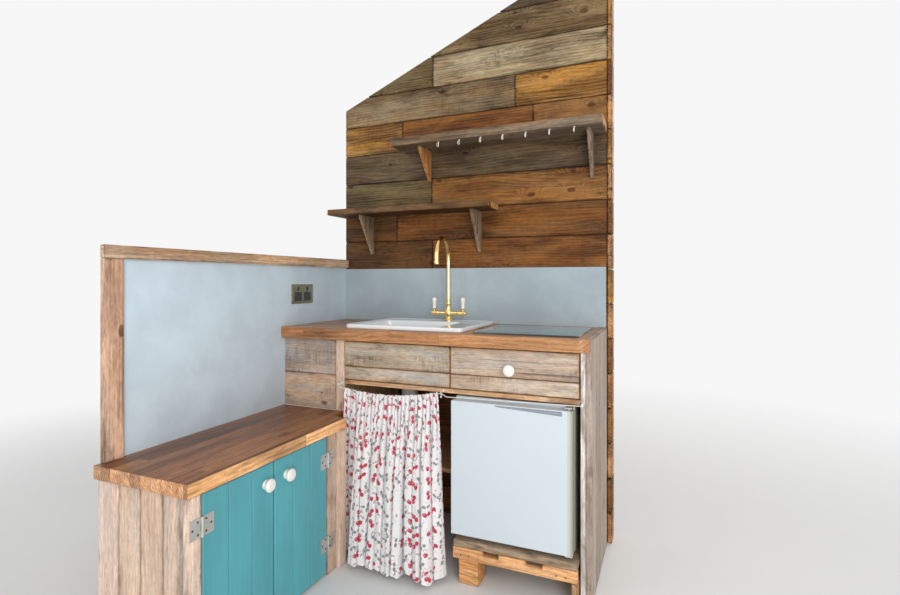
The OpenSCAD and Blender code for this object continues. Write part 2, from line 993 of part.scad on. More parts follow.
module fridge_door() {
    hole_r = fridge_pin_r + run_clear;
    hole_l = fridge_pin_in + 2;
    grip_r = 13;
    grip_z = door_top_z - 20;
    grip_in = 150;
    grip_x = fridge_at + grip_in;
    color("whitesmoke")
        place()
            difference() {
                rounded_slab(fridge_at, fridge_right, fridge_front - fridge_door_t, fridge_front,
                    door_bottom_z,
                    door_top_z, 8);
                upright(fridge_pin_x, fridge_pin_y, door_top_z - hole_l, hole_r, hole_l + eps);
                upright(fridge_pin_x, fridge_pin_y, door_bottom_z - eps, hole_r, hole_l + eps);
                along_x(grip_x, fridge_front + 4, grip_z, grip_r, grip_l);
            }
}

module pallet_deck() {
    color("tan")
        place()
            for (i = [0:deck_n - 1])
                slab(pallet_at, pallet_at + pallet_l, i * deck_pitch, i * deck_pitch + deck_w,
                    pallet_h - deck_t, pallet_h);
}

module pallet_boards() {
    notch_w = 63;
    notch_h = 17;
    first = 111;
    step = 156;
    color("peru")
        place()
            for (y = [0, (pallet_front - notched_t) / 2, pallet_front - notched_t])
                difference() {
                    slab(pallet_at, pallet_at + pallet_l, y, y + notched_t, notched_z,
                        notched_z + notched_h);
                    for (i = [0, 1])
                        slab(pallet_at + first + i * step, pallet_at + first + i * step + notch_w, y - eps,
                            y + notched_t + eps, notched_z + notched_h - notch_h,
                                notched_z + notched_h + eps);
                }
}

module pallet_blocks() {
    x0 = pallet_at + side_plank_t;
    x1 = pallet_at + pallet_l;
    plank_back = 47;
    color("peru")
        place()
            union() {
                for (y = [0, (pallet_front - block_d) / 2, pallet_front - block_d])
                    slab(x0, x0 + block_w, y, y + block_d, 0, notched_z);
                slab(pallet_at, x0, 0, pallet_front - plank_back, 0, notched_z);
                slab(x1 - side_plank_t, x1, 0, pallet_front, 0, notched_z);
            }
}

module low_worktop() {
    color("chocolate")
        place()
            union() {
                slab(0, low_d, post_far, low_near, low_z, low_h);
                slab(0, return_x, front_y, post_far + eps, low_z, low_h);
            }
}

module low_end_panel() {
    w = 89;
    x1 = carcass_x - stile_in;
    color("tan")
        place()
            for (x = [0:w:x1 - 1])
                slab(x, min(x + w - course_gap, x1), panel_near - low_board_t, panel_near, 0, low_z);
}

module low_frame() {
    stile_back = carcass_x - stile_in;
    rail_x0 = shelf_front_x - low_board_t;
    low_rail_h = 34;
    color("tan")
        place()
            union() {
                slab(stile_back, low_face, doors_near, panel_near, 0, low_z);
                slab(carcass_x, low_face, post_far + post_w, doors_far, 0, low_z);
                slab(carcass_x - 2, low_d, post_far, post_far + post_w, 0, low_z);
                slab(0, carcass_x, post_far, post_far + low_board_t, 0, low_z);
                slab(return_x - low_board_t, return_x, front_y, post_far + eps, 0, low_z);
                slab(rail_x0, shelf_front_x, post_far + low_board_t, panel_near - low_board_t,
                    low_z - low_rail_h, low_z);
            }
}

module low_inside() {
    back_t = 6;
    floor_z = 30;
    floor_t = 15;
    shelf_t = 15;
    y0 = post_far + low_board_t;
    y1 = panel_near - low_board_t;
    color("wheat")
        place()
            union() {
                slab(0, back_t, y0, y1, 0, low_z);
                slab(back_t, shelf_front_x, y0, y1, floor_z, floor_z + floor_t);
                slab(shelf_front_x - low_board_t, shelf_front_x, y0, y1, 0, floor_z + eps);
                slab(back_t, shelf_front_x - 20, y0, y1, low_shelf_z - shelf_t, low_shelf_z);
            }
}

// A door of three grooved boards between y_far and y_near, with two ledges behind it.
module boarded_door(y_far, y_near) {
    w = (y_near - y_far) / 3;
    difference() {
        slab(carcass_x, low_face, y_far, y_near, door_bottom, door_top);
        for (i = [1:2])
            slab(low_face - groove_d, low_face + eps, y_far + i * w - 1.5, y_far + i * w + 1.5,
                door_bottom - eps,
                door_top + eps);
    }
    ledge_drop = 40;
    for (z = [hinge_low, hinge_high - ledge_drop])
        slab(carcass_x - ledge_t, carcass_x, y_far + 25, y_near - 25, z - ledge_w / 2, z + ledge_w / 2);
}

module door_left() {
    color("cadetblue")
        place()
            boarded_door(doors_mid + door_gap / 2, doors_near - door_gap);
}

module door_right() {
    color("cadetblue")
        place()
            boarded_door(doors_far + door_gap, doors_mid - door_gap / 2);
}

// The knuckles of a hinge on the upright axis y: an outer pair, or the middle one.
module knuckles(y, z, middle) {
    third = hinge_h / 3;
    bottom = z - hinge_h / 2;
    if (middle)
        difference() {
            upright(knuckle_x, y, bottom + third + 0.5, knuckle_r, third - 1);
            upright(knuckle_x, y, bottom, door_pin_r + run_clear, hinge_h);
        }
    else {
        upright(knuckle_x, y, bottom, knuckle_r, third);
        upright(knuckle_x, y, bottom + 2 * third, knuckle_r, third);
        upright(knuckle_x, y, bottom, door_pin_r, hinge_h);
    }
}

// A leaf lying on a face, from its knuckles towards dir (1 = nearer the camera, -1 = farther).
module leaf(y, z, dir, middle) {
    third = hinge_h / 3;
    bottom = z - hinge_h / 2;
    y0 = dir > 0 ? y + knuckle_r + 1 : y - leaf_l;
    y1 = dir > 0 ? y + leaf_l : y - knuckle_r - 1;
    slab(low_face, low_face + leaf_t, y0, y1, bottom, bottom + hinge_h);
    tab0 = dir > 0 ? y : y - knuckle_r - 2;
    tab1 = dir > 0 ? y + knuckle_r + 2 : y;
    if (middle)
        difference() {
            slab(low_face, low_face + leaf_t, tab0, tab1, bottom + third + 0.5, bottom + 2 * third - 0.5);
            upright(knuckle_x, y, bottom, door_pin_r + run_clear, hinge_h);
        }
    else {
        slab(low_face, low_face + leaf_t, tab0, tab1, bottom, bottom + third);
        slab(low_face, low_face + leaf_t, tab0, tab1, bottom + 2 * third, bottom + hinge_h);
    }
}

module hinges_fixed() {
    color("silver")
        place()
            union() {
                for (z = [hinge_low, hinge_high]) {
                    leaf(doors_near, z, 1, false);
                    knuckles(doors_near, z, false);
                    leaf(doors_far, z, -1, false);
                    knuckles(doors_far, z, false);
                }
            }
}

module hinges_left() {
    color("silver")
        place()
            for (z = [hinge_low, hinge_high]) {
                leaf(doors_near, z, -1, true);
                knuckles(doors_near, z, true);
            }
}

module hinges_right() {
    color("silver")
        place()
            for (z = [hinge_low, hinge_high]) {
                leaf(doors_far, z, 1, true);
                knuckles(doors_far, z, true);
            }
}

module door_knob(y) {
    translate([low_face, -y, door_knob_z])
        rotate([0, 90, 0])
            knob(door_knob_d, knob_l);
}

module knob_left() {
    color("ivory")
        place()
            door_knob(doors_mid + 38);
}

module knob_right() {
    color("ivory")
        place()
            door_knob(doors_mid - 58);
}

module tap_body() {
    color("gold")
        place()
            difference() {
                union() {
                    upright(tap_at, tap_y, rim_z, 24, 5);
                    upright(tap_at, tap_y, rim_z, 13, collar_z - rim_z);
                    upright(tap_at, tap_y, worktop_h - 60, tap_hole_r - 4, 60 + sink_rim_h + eps);
                    along_x(tap_at - bar_half, tap_y, bar_z, bar_r, 2 * bar_half);
                    upright(tap_at, tap_y, collar_z - eps, spigot_r, 28 + eps);
                }
                for (side = [-1, 1])
                    along_x(tap_at + side * bar_half - (side > 0 ? pin_l : eps), tap_y, bar_z,
                        pin_r + run_clear, pin_l + eps);
            }
}

module tap_spout() {
    z0 = collar_z + seat;
    z1 = z0 + spout_h;
    color("gold")
        place()
            translate([tap_at, -tap_y, 0])
                rotate([0, 0, spout_turn])
                    difference() {
                        union() {
                            translate([0, 0, z0])
                                cylinder(r = spout_r, h = spout_h);
                            translate([0, 0, z0])
                                cylinder(r = spout_r + 3, h = 12);
                            translate([0, -spout_bend, z1])
                                rotate([90, 0, 90])
                                    rotate_extrude(angle = 180)
                                        translate([spout_bend, 0])
                                            circle(r = spout_r);
                            translate([0, -2 * spout_bend, z1 - spout_drop])
                                cylinder(r = spout_r, h = spout_drop);
                            translate([0, -2 * spout_bend, z1 - spout_drop])
                                cylinder(r = spout_r + 1.5, h = 16);
                        }
                        translate([0, 0, z0 - eps])
                            cylinder(r = spigot_r + run_clear, h = 30 + eps);
                        translate([0, -2 * spout_bend, z1 - spout_drop - eps])
                            cylinder(r = spout_r - 2, h = 20);
                    }
}

// The brass hub of a lever on the given side (-1 left, 1 right), with its spindle and neck.
module lever_hub(side) {
    start = bar_half + seat;
    x_hub = side > 0 ? start : -start - hub_l;
    x_pin = side > 0 ? start - pin_l + 2 : -start - eps;
    union() {
        translate([tap_at + x_hub, -tap_y, bar_z])
            rotate([0, 90, 0])
                cylinder(r = hub_r, h = hub_l);
        translate([tap_at + x_pin, -tap_y, bar_z])
            rotate([0, 90, 0])
                cylinder(r = pin_r, h = pin_l - 2 + eps);
        upright(tap_at + side * (start + lever_in), tap_y, bar_z, 5, hub_r + 10);
    }
}

module porcelain(side) {
    start = bar_half + seat;
    translate([tap_at + side * (start + lever_in), -tap_y, bar_z + hub_r + 10])
        union() {
            cylinder(r1 = 6, r2 = 8.5, h = lever_l - 8);
            translate([0, 0, lever_l - 8])
                intersection() {
                    sphere(r = 8.5);
                    cylinder(r = 9, h = 9);
                }
        }
}

module lever_left() {
    color("gold")
        place()
            lever_hub(-1);
}

module lever_right() {
    color("gold")
        place()
            lever_hub(1);
}

module porcelain_left() {
    color("white")
        place()
            porcelain(-1);
}

module porcelain_right() {
    color("white")
        place()
            porcelain(1);
}

partition_frame();
partition_front();
partition_back();
corner_boards();
splash_back();
splash_side();
splash_trim();
socket();
shelf_upper();
brackets_upper();
cup_hooks();
shelf_lower();
brackets_lower();
worktop();
sink();
bowl_shell();
sink_waste();
sink_trap();
hob_glass();
hob_tray();
face_frame();
fixed_front();
end_panel();
run_sides();
drawer_runners();
drawer_front();
drawer_box();
drawer_knob();
bay_shelf();
curtain();
curtain_wire();
fridge_cabinet();
fridge_shelves();
fridge_feet();
fridge_hinges();
fridge_door();
pallet_deck();
pallet_boards();
pallet_blocks();
low_worktop();
low_end_panel();
low_frame();
low_inside();
hinges_fixed();
door_left();
hinges_left();
knob_left();
door_right();
hinges_right();
knob_right();
tap_body();
tap_spout();
lever_left();
porcelain_left();
lever_right();
porcelain_right();
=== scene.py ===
"""Looks of a fitted kitchenette with a plank partition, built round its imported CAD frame.

Lengths are working millimetres unless a name says otherwise: x runs from the left wall, y forward from the
partition's front face, z up from the floor. place() turns them into the frame's metres.
"""

import math

import bmesh
import bpy
import numpy as np
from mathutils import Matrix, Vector

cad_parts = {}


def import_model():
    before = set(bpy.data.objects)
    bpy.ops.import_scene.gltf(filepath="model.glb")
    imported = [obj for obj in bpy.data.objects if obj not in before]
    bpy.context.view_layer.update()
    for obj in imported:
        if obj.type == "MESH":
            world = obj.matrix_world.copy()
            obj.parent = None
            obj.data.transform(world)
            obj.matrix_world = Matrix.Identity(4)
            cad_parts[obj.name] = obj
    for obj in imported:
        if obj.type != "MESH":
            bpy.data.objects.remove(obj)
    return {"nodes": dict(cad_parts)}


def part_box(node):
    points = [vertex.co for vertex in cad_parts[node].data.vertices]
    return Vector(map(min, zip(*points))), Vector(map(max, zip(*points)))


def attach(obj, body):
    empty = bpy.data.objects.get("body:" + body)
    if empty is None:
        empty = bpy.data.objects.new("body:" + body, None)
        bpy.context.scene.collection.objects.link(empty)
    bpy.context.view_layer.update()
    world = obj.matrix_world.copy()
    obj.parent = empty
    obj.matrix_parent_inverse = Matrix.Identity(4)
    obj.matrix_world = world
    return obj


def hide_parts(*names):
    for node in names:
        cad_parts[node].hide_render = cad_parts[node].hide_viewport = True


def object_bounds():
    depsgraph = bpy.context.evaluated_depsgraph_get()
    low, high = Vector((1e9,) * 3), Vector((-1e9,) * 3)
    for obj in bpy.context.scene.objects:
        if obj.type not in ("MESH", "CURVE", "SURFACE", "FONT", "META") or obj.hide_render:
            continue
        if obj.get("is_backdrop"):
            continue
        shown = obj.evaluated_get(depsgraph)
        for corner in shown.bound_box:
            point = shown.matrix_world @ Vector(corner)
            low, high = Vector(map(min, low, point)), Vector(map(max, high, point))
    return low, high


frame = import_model()
cad_low, cad_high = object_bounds()

MM = 0.001
PARTITION_T = 83
ORIGIN_X = cad_low[0]
ORIGIN_Y = cad_high[1] - PARTITION_T * MM
AXIS = {"x": 0, "y": 1, "z": 2}
UP, RIGHT, FORWARD = (0, 0, 1), (1, 0, 0), (0, 1, 0)
WHITE = (1, 1, 1)


def place(points):
    """Working millimetres to the frame's metres."""
    p = np.asarray(points, float)
    return np.stack([ORIGIN_X + p[..., 0] * MM, ORIGIN_Y - p[..., 1] * MM, p[..., 2] * MM], -1)


def span(node):
    """The box of a CAD node in working millimetres: (x0, x1), (y0, y1), (z0, z1)."""
    a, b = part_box(node)
    return ((round((a[0] - ORIGIN_X) / MM, 2), round((b[0] - ORIGIN_X) / MM, 2)),
            (round((ORIGIN_Y - b[1]) / MM, 2), round((ORIGIN_Y - a[1]) / MM, 2)),
            (round(a[2] / MM, 2), round(b[2] / MM, 2)))


# Meshes


class Shape:
    """Collects parts in working millimetres, with a grain coordinate, a tone and an edge weight at each point; on the
    curtain, the weight of its painted fold shade.
    """

    def __init__(self):
        self.points, self.faces, self.grain, self.tone, self.rim, self.mats = [], [], [], [], [], []
        self.count = 0

    def add(self, points, faces, grain=None, tone=WHITE, rim=None, mat=0, ends=0.0):
        points = np.asarray(points, float)
        self.points.append(points)
        self.faces += [tuple(i + self.count for i in face) for face in faces]
        self.mats += [mat] * len(faces)
        self.grain.append(points * MM if grain is None else grain)
        shade = np.tile([*tone, 0.0], (len(points), 1))
        shade[:, 3] = ends
        self.tone.append(shade)
        self.rim.append(np.zeros(len(points)) if rim is None else rim)
        self.count += len(points)

    def make(self, name, mats, nodes=(), body="kitchenette", slot=None, angle=38, closed=True):
        """Links the piece, with its body and the CAD nodes it replaces; slot, which defaults to its first material's
        name, is not used.
        """
        slot = slot or mats[0].name.split(".")[0]  # without the number that Blender adds to a name in use
        mesh = bpy.data.meshes.new(name)
        mesh.from_pydata(place(np.concatenate(self.points)).tolist(), [], self.faces)
        for key, kind, field, rows in (("grain", "FLOAT_VECTOR", "vector", self.grain),
                                       ("tone", "FLOAT_COLOR", "color", self.tone),
                                       ("rim", "FLOAT", "value", self.rim)):
            mesh.attributes.new(key, kind, "POINT").data.foreach_set(field, np.concatenate(rows).ravel())
        for mat in mats:
            mesh.materials.append(mat)
        mesh.polygons.foreach_set("material_index", self.mats)
        if closed:
            bm = bmesh.new()
            bm.from_mesh(mesh)
            bmesh.ops.recalc_face_normals(bm, faces=bm.faces)
            bm.to_mesh(mesh)
            bm.free()
        mesh.shade_smooth()
        mesh.set_sharp_from_angle(angle=math.radians(angle))
        piece = bpy.data.objects.new(name, mesh)
        bpy.context.scene.collection.objects.link(piece)
        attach(piece, body)
        if nodes:
            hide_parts(*nodes)
        return piece

    def remat(self, choose):
        """Gives faces another material where choose(mean x) names one."""
        points = np.concatenate(self.points)
        for k, face in enumerate(self.faces):
            self.mats[k] = choose(points[list(face), 0].mean())


def tube(rows, n, loop=False):
    """Faces between rows of n points, with caps at both ends, or closed on itself with loop."""
    faces = [(i * n + j, i * n + (j + 1) % n, (i + 1) % rows * n + (j + 1) % n, (i + 1) % rows * n + j)
             for i in range(rows if loop else rows - 1) for j in range(n)]
    return faces if loop else [*faces, tuple(range(n)), tuple(range((rows - 1) * n, rows * n))]


WAVES = 6  # that make up the noise of a board's wear


def ripple(rng, a, b, size):
    """Smooth noise of about -1 to 1 over a and b, with waves about size long."""
    total = 0
    for _ in range(WAVES):
        k = 2 * math.pi / (size * rng.uniform(0.5, 1.7))
        turn = rng.uniform(0, 2 * math.pi)
        total = total + np.sin(k * (a * math.cos(turn) + b * math.sin(turn)) + rng.uniform(0, 2 * math.pi))
    return total / math.sqrt(WAVES) * 0.8


EDGE_IN = 11  # from an eased edge to the first evenly spaced mark
WEAR_ALONG, WEAR_ACROSS, WEAR_ENDS = 90, 55, 40  # lengths of the waves in a board's wear
RIM_W, END_REACH, END_IN = 10, 6, 8  # widths of the worn rim, of the end grain's tone and of the end's inner ring


def marks(size, c, pitch):
    """Positions across a face: close together at its edges, then about a pitch apart."""
    run = size - 2 * (c + EDGE_IN)
    if run < 4:
        return [c, size - c] if size > 2 * c + 1 else [c, max(c, size - c)]
    inner = max(1, round(run / pitch))
    return [c, c + 3, *(c + EDGE_IN + run * i / inner for i in range(inner + 1)), size - c - 3, size - c]


def board(shape, x, y, z, along="x", tone=WHITE, seed=1, c=1.6, wear=0.7, pitch=42, mat=0, top=None, jitter=0.06):
    """A sawn board in the box x, y, z, with eased and slightly worn edges.

    top(l) limits the width at the distance l along the board, for a board cut under a slope.
    """
    rng = np.random.default_rng(seed)
    box = [x, y, z]
    sizes = [b - a for a, b in box]
    al = AXIS[along]
    thin, wide = (1, 2) if top else sorted((i for i in range(3) if i != al), key=lambda i: sizes[i])
    length, width, thick = sizes[al], sizes[wide], sizes[thin]
    c = min(c, thick * 0.22, width * 0.22)
    ws, ts = marks(width, c, 30), [c, thick - c]
    ring = np.array([(w, 0, 0) for w in ws] + [(width, t, 1) for t in ts] + [(w, thick, 2) for w in ws[::-1]]
                    + [(0, t, 3) for t in ts[::-1]], float)
    ls = marks(length, c, pitch)
    if top:
        fine = np.linspace(0, length, 3000)
        ls = sorted({*ls, *fine[top(fine) >= width][:1]})
    stations = np.array([0, *ls, length], float)
    w = np.tile(ring[:, 0], (len(stations), 1))
    t = np.tile(ring[:, 1], (len(stations), 1))
    side = ring[:, 2]
    ll = np.tile(stations[:, None], (1, len(ring)))
    bite_t = wear * (0.55 + 0.45 * ripple(rng, ll, w, WEAR_ALONG))
    bite_w = wear * (0.6 + 0.4 * ripple(rng, ll, t * 3, WEAR_ACROSS))
    near = np.clip(1 - np.minimum(w, width - w) / 9, 0, 1)
    bite_t = np.clip(bite_t + near * wear * 0.3, 0, 1.6 * wear)
    bite_w = np.clip(bite_w, 0, 1.4 * wear)
    t = np.where(side == 0, t + bite_t, np.where(side == 2, t - bite_t, t))
    w = np.where(w <= 3 * c, w + bite_w, np.where(w >= width - 3 * c, w - bite_w, w))
    for row in (0, -1):
        w[row] = width / 2 + (w[row] - width / 2) * (1 - 1.7 * c / width)
        t[row] = thick / 2 + (t[row] - thick / 2) * (1 - 1.7 * c / thick)
    pull = np.clip(wear * (0.5 + 0.5 * ripple(rng, w[0], t[0], WEAR_ENDS)), 0, None)
    ll[0] += pull
    ll[-1] -= pull
    if top:
        limit = np.clip(top(ll), 2, width)
        w = np.where(limit < width, w * limit / width, w)
    rim = np.minimum(np.minimum(w, width - w), np.minimum(ll, length - ll))
    rim = np.clip(1 - rim / min(RIM_W, 0.22 * width), 0, 1)
    rim[1:-1] *= np.clip(1 - (thick - 12) / 30, 0.4, 1) ** (side % 2)
    ends = np.clip(1 - np.minimum(ll, length - ll) / END_REACH, 0, 1)
    end_in = min(END_IN, 0.3 * thick)
    ll, w, t, rim, ends = (np.concatenate([a[:1], a, a[-1:]]) for a in (ll, w, t, rim, ends))
    for row in (0, -1):
        w[row] = w[row].mean() + (w[row] - w[row].mean()) * (1 - 2 * end_in / width)
        t[row] = thick / 2 + (t[row] - thick / 2) * (1 - 2 * end_in / thick)
        rim[row] = 0
    points = np.zeros((*ll.shape, 3))
    for i, at in ((al, ll), (wide, w), (thin, t)):
        points[..., i] = box[i][0] + at
    grain = np.stack([ll, w, t], -1) * MM + rng.uniform(0, 40, 3)
    shade = rng.uniform(1 - jitter, 1 + jitter)
    shape.add(points.reshape(-1, 3), tube(*ll.shape), grain.reshape(-1, 3), [v * shade for v in tone], rim.ravel(), mat,
              ends.ravel())


def boards(shape, rows, **common):
    """Several boards: each row is (x, y, z, along, tone, seed)."""
    for row in rows:
        board(shape, *row, **common)
    return shape


def boarded(name, mats, node, rows, body="kitchenette", slot=None, **common):
    """A piece of boards that replaces one CAD node."""
    boards(Shape(), rows, **common).make(name, mats, [node], body, slot)


def rect(a0, a1, b0, b1):
    """The corners of a rectangle."""
    return [(a0, b0), (a1, b0), (a1, b1), (a0, b1)]


def prism(shape, outline, axis, low, high, c=1.2, along="z", tone=WHITE, seed=1, mat=0):
    """An outline drawn across an axis and drawn out along it, with eased edges."""
    ax = AXIS[axis]
    bm = bmesh.new()
    ends = [[bm.verts.new(np.insert(np.array([a, b], float), ax, level).tolist()) for a, b in outline]
            for level in (low, high)]
    bm.faces.new(ends[0])
    bm.faces.new(ends[1][::-1])
    for i in range(len(outline)):
        j = (i + 1) % len(outline)
        bm.faces.new((ends[0][j], ends[0][i], ends[1][i], ends[1][j]))
    bmesh.ops.recalc_face_normals(bm, faces=bm.faces)
    edges = [e for e in bm.edges if e.calc_face_angle(0) > 0.3]
    bmesh.ops.bevel(bm, geom=edges, offset=c, segments=2, profile=0.6, affect="EDGES")
    add_bmesh(shape, bm, along, tone, seed, mat)


def add_bmesh(shape, bm, along="x", tone=WHITE, seed=None, mat=0):
    """Adds a bmesh, with its grain along one axis and shifted at random by its seed."""
    bm.verts.index_update()
    points = np.array([v.co[:] for v in bm.verts])
    order = {"x": [0, 1, 2], "y": [1, 0, 2], "z": [2, 0, 1]}[along]
    shift = 0 if seed is None else np.random.default_rng(seed).uniform(0, 40, 3)
    shape.add(points, [[v.index for v in f.verts] for f in bm.faces], points[:, order] * MM + shift, tone, None, mat)
    bm.free()


def soften(node, c, along="x", tone=WHITE, seed=1, front=None, end=None):
    """A copy of a CAD node's shape with eased edges. front and end tone its faces at the highest x and y."""
    shape = Shape()
    bm = bmesh.new()
    bm.from_mesh(frame["nodes"][node].data)
    for v in bm.verts:
        x, y, z = v.co
        v.co = ((x - ORIGIN_X) / MM, (ORIGIN_Y - y) / MM, z / MM)
    bmesh.ops.remove_doubles(bm, verts=bm.verts, dist=0.01)
    bmesh.ops.dissolve_limit(bm, angle_limit=0.02, verts=bm.verts, edges=bm.edges)
    edges = [e for e in bm.edges if len(e.link_faces) == 2 and e.calc_face_angle(0) > 0.5]
    bmesh.ops.bevel(bm, geom=edges, offset=c, segments=3, profile=0.6, affect="EDGES", clamp_overlap=True)
    for layer in list(bm.loops.layers.uv.values()):
        bm.loops.layers.uv.remove(layer)
    add_bmesh(shape, bm, along, tone, seed)
    points, shade = shape.points[-1], shape.tone[-1]
    for axis, own in ((0, front), (1, end)):
        if own:
            shade[points[:, axis] > points[:, axis].max() - 0.5, :3] = own
    return shape


def frame_of(direction):
    """A unit direction and two others across it."""
    d = np.asarray(direction, float)
    d = d / np.linalg.norm(d)
    side = np.cross(d, UP if abs(d[2]) < 0.9 else RIGHT)
    side = side / np.linalg.norm(side)
    return d, side, np.cross(d, side)


def around(steps):
    """Cosines and sines of steps round a circle, as columns."""
    angles = np.linspace(0, 2 * math.pi, steps, endpoint=False)[:, None]
    return np.cos(angles), np.sin(angles)


def lathe(shape, profile, base, direction, steps=40, mat=0):
    """A turned piece: profile is (radius, distance) pairs along direction from base, closed at both ends."""
    d, u, v = frame_of(direction)
    cos, sin = around(steps)
    circle = cos * u + sin * v
    points = np.concatenate([np.asarray(base, float) + d * h + circle * max(r, 0.02) for r, h in profile])
    shape.add(points, tube(len(profile), steps), mat=mat)


def sweep(shape, path, radius, steps=20):
    """A round tube along points in one plane or nearly so."""
    path = np.asarray(path, float)
    tangent = np.gradient(path, axis=0)
    tangent /= np.linalg.norm(tangent, axis=1)[:, None]
    normal = np.cross(path[-1] - path[0], path[len(path) // 2] - path[0])
    if np.linalg.norm(normal) < 1e-6:
        normal = frame_of(tangent[0])[1]
    normal = normal / np.linalg.norm(normal)
    cos, sin = around(steps)
    rings = []
    for p, t in zip(path, tangent):
        v = np.cross(t, normal)
        v /= np.linalg.norm(v)
        rings.append(p + radius * (cos * np.cross(v, t) + sin * v))
    shape.add(np.concatenate(rings), tube(len(path), steps))


def rounded(x0, x1, y0, y1, r, z=0, arc=7):
    """A closed ring of points round a rounded rectangle."""
    ring = []
    for cx, cy, start in ((x1 - r, y1 - r, 0), (x0 + r, y1 - r, 90), (x0 + r, y0 + r, 180), (x1 - r, y0 + r, 270)):
        for k in range(arc):
            a = math.radians(start + 90 * k / (arc - 1))
            ring.append((cx + r * math.cos(a), cy + r * math.sin(a), z))
    return ring


def loft(shape, rings, loop=False):
    """Joins rings of equal length; capped at both ends, or closed on itself with loop."""
    shape.add(np.array(rings).reshape(-1, 3), tube(len(rings), len(rings[0]), loop))
    return shape


def screw(shape, centre, direction, r=3.4, proud=0.5, mat=1):
    """A flat screw head with a hollow in its middle."""
    lathe(shape, [(r * 0.8, -0.6), (r, 0), (r * 0.95, proud * 0.7), (r * 0.7, proud), (r * 0.3, proud),
                  (r * 0.22, proud * 0.1)], centre, direction, 14, mat)


# Materials


class Nodes:
    """Short names for building a node tree of a material or of the world."""

    def __init__(self, name, kind="materials", shader="BsdfPrincipled", output="OutputMaterial"):
        self.mat = getattr(bpy.data, kind).new(name)
        self.mat.use_nodes = True
        self.tree = self.mat.node_tree
        self.tree.nodes.clear()
        self.out, self.bsdf = self.node(output), self.node(shader)
        self.put(self.out.inputs[0], self.bsdf.outputs[0])

    def put(self, socket, value):
        """Links an output to a socket, or sets a constant on it."""
        if hasattr(value, "links"):
            self.tree.links.new(value, socket)
        elif value is not None:
            socket.default_value = (*value[:3], 1.0) if socket.type == "RGBA" else value

    def node(self, kind, inputs=(), **props):
        made = self.tree.nodes.new("ShaderNode" + kind)
        for key, value in props.items():
            setattr(made, key, value)
        for key, value in dict(inputs).items():
            self.put(made.inputs[key], value)
        return made

    def attr(self, name, output="Vector"):
        return self.node("Attribute", attribute_name=name).outputs[output]

    def object_coords(self):
        return self.node("TexCoord").outputs["Object"]

    def scaled(self, vector, scale, shift=(0, 0, 0)):
        return self.node("Mapping", {"Vector": vector, "Scale": scale, "Location": shift}).outputs[0]

    def noise(self, vector, scale=1.0, detail=2.0, rough=0.5, distortion=0.0, output="Fac"):
        return self.node("TexNoise", {"Vector": vector, "Scale": scale, "Detail": detail, "Roughness": rough,
                                      "Distortion": distortion}).outputs[output]

    def stretched(self, vector, scale, detail=3, rough=0.6, distortion=0, shift=(0, 0, 0)):
        return self.noise(self.scaled(vector, scale, shift), 1, detail, rough, distortion)

    def cells(self, vector, scale, feature="F1"):
        return self.node("TexVoronoi", {"Vector": vector, "Scale": scale}, feature=feature, voronoi_dimensions="2D")

    def split(self, colour):
        return self.node("SeparateColor", {0: colour}).outputs

    def math(self, kind, a, b=0.5, clamp=False):
        return self.node("Math", {0: a, 1: b}, operation=kind, use_clamp=clamp).outputs[0]

    def times(self, first, *others):
        for value in others:
            first = self.math("MULTIPLY", first, value)
        return first

    def plus(self, first, *others):
        for value in others:
            first = self.math("ADD", first, value)
        return first

    def vector(self, kind, a, b=None):
        made = self.node("VectorMath", {0: a}, operation=kind)
        if b is not None:
            self.put(made.inputs[1], b)
        return made.outputs["Value" if kind == "LENGTH" else "Vector"]

    def ramp(self, fac, low, high, a=0.0, b=1.0, smooth=True):
        return self.node("MapRange", {"Value": fac, "From Min": low, "From Max": high, "To Min": a, "To Max": b},
                         interpolation_type="SMOOTHSTEP" if smooth else "LINEAR").outputs[0]

    def mix(self, fac, a, b, mode="MIX"):
        return self.node("Mix", {0: fac, 6: a, 7: b}, data_type="RGBA", blend_type=mode).outputs[2]

    def multiplied(self, colour, by):
        return self.mix(1.0, colour, by, "MULTIPLY")

    def tint(self, fac, colour, by):
        """The colour, multiplied by another where fac is high."""
        return self.mix(fac, colour, self.multiplied(colour, by))

    def bump(self, height, strength, distance):
        return self.node("Bump", {"Strength": strength, "Distance": distance, "Height": height}).outputs[0]

    def blend(self, fac, a, b):
        """Sends a mix of two shaders to the output."""
        both = self.node("MixShader", {0: fac, 1: a.outputs[0], 2: b.outputs[0]})
        self.put(self.out.inputs[0], both.outputs[0])
        return self.mat

    def set(self, **values):
        for key, value in values.items():
            self.put(self.bsdf.inputs[key.replace("_", " ")], value)
        return self.mat


def shades(colour, low, high):
    """A darker and a lighter tone of a colour."""
    return tuple(v * low for v in colour), tuple(v * high for v in colour)


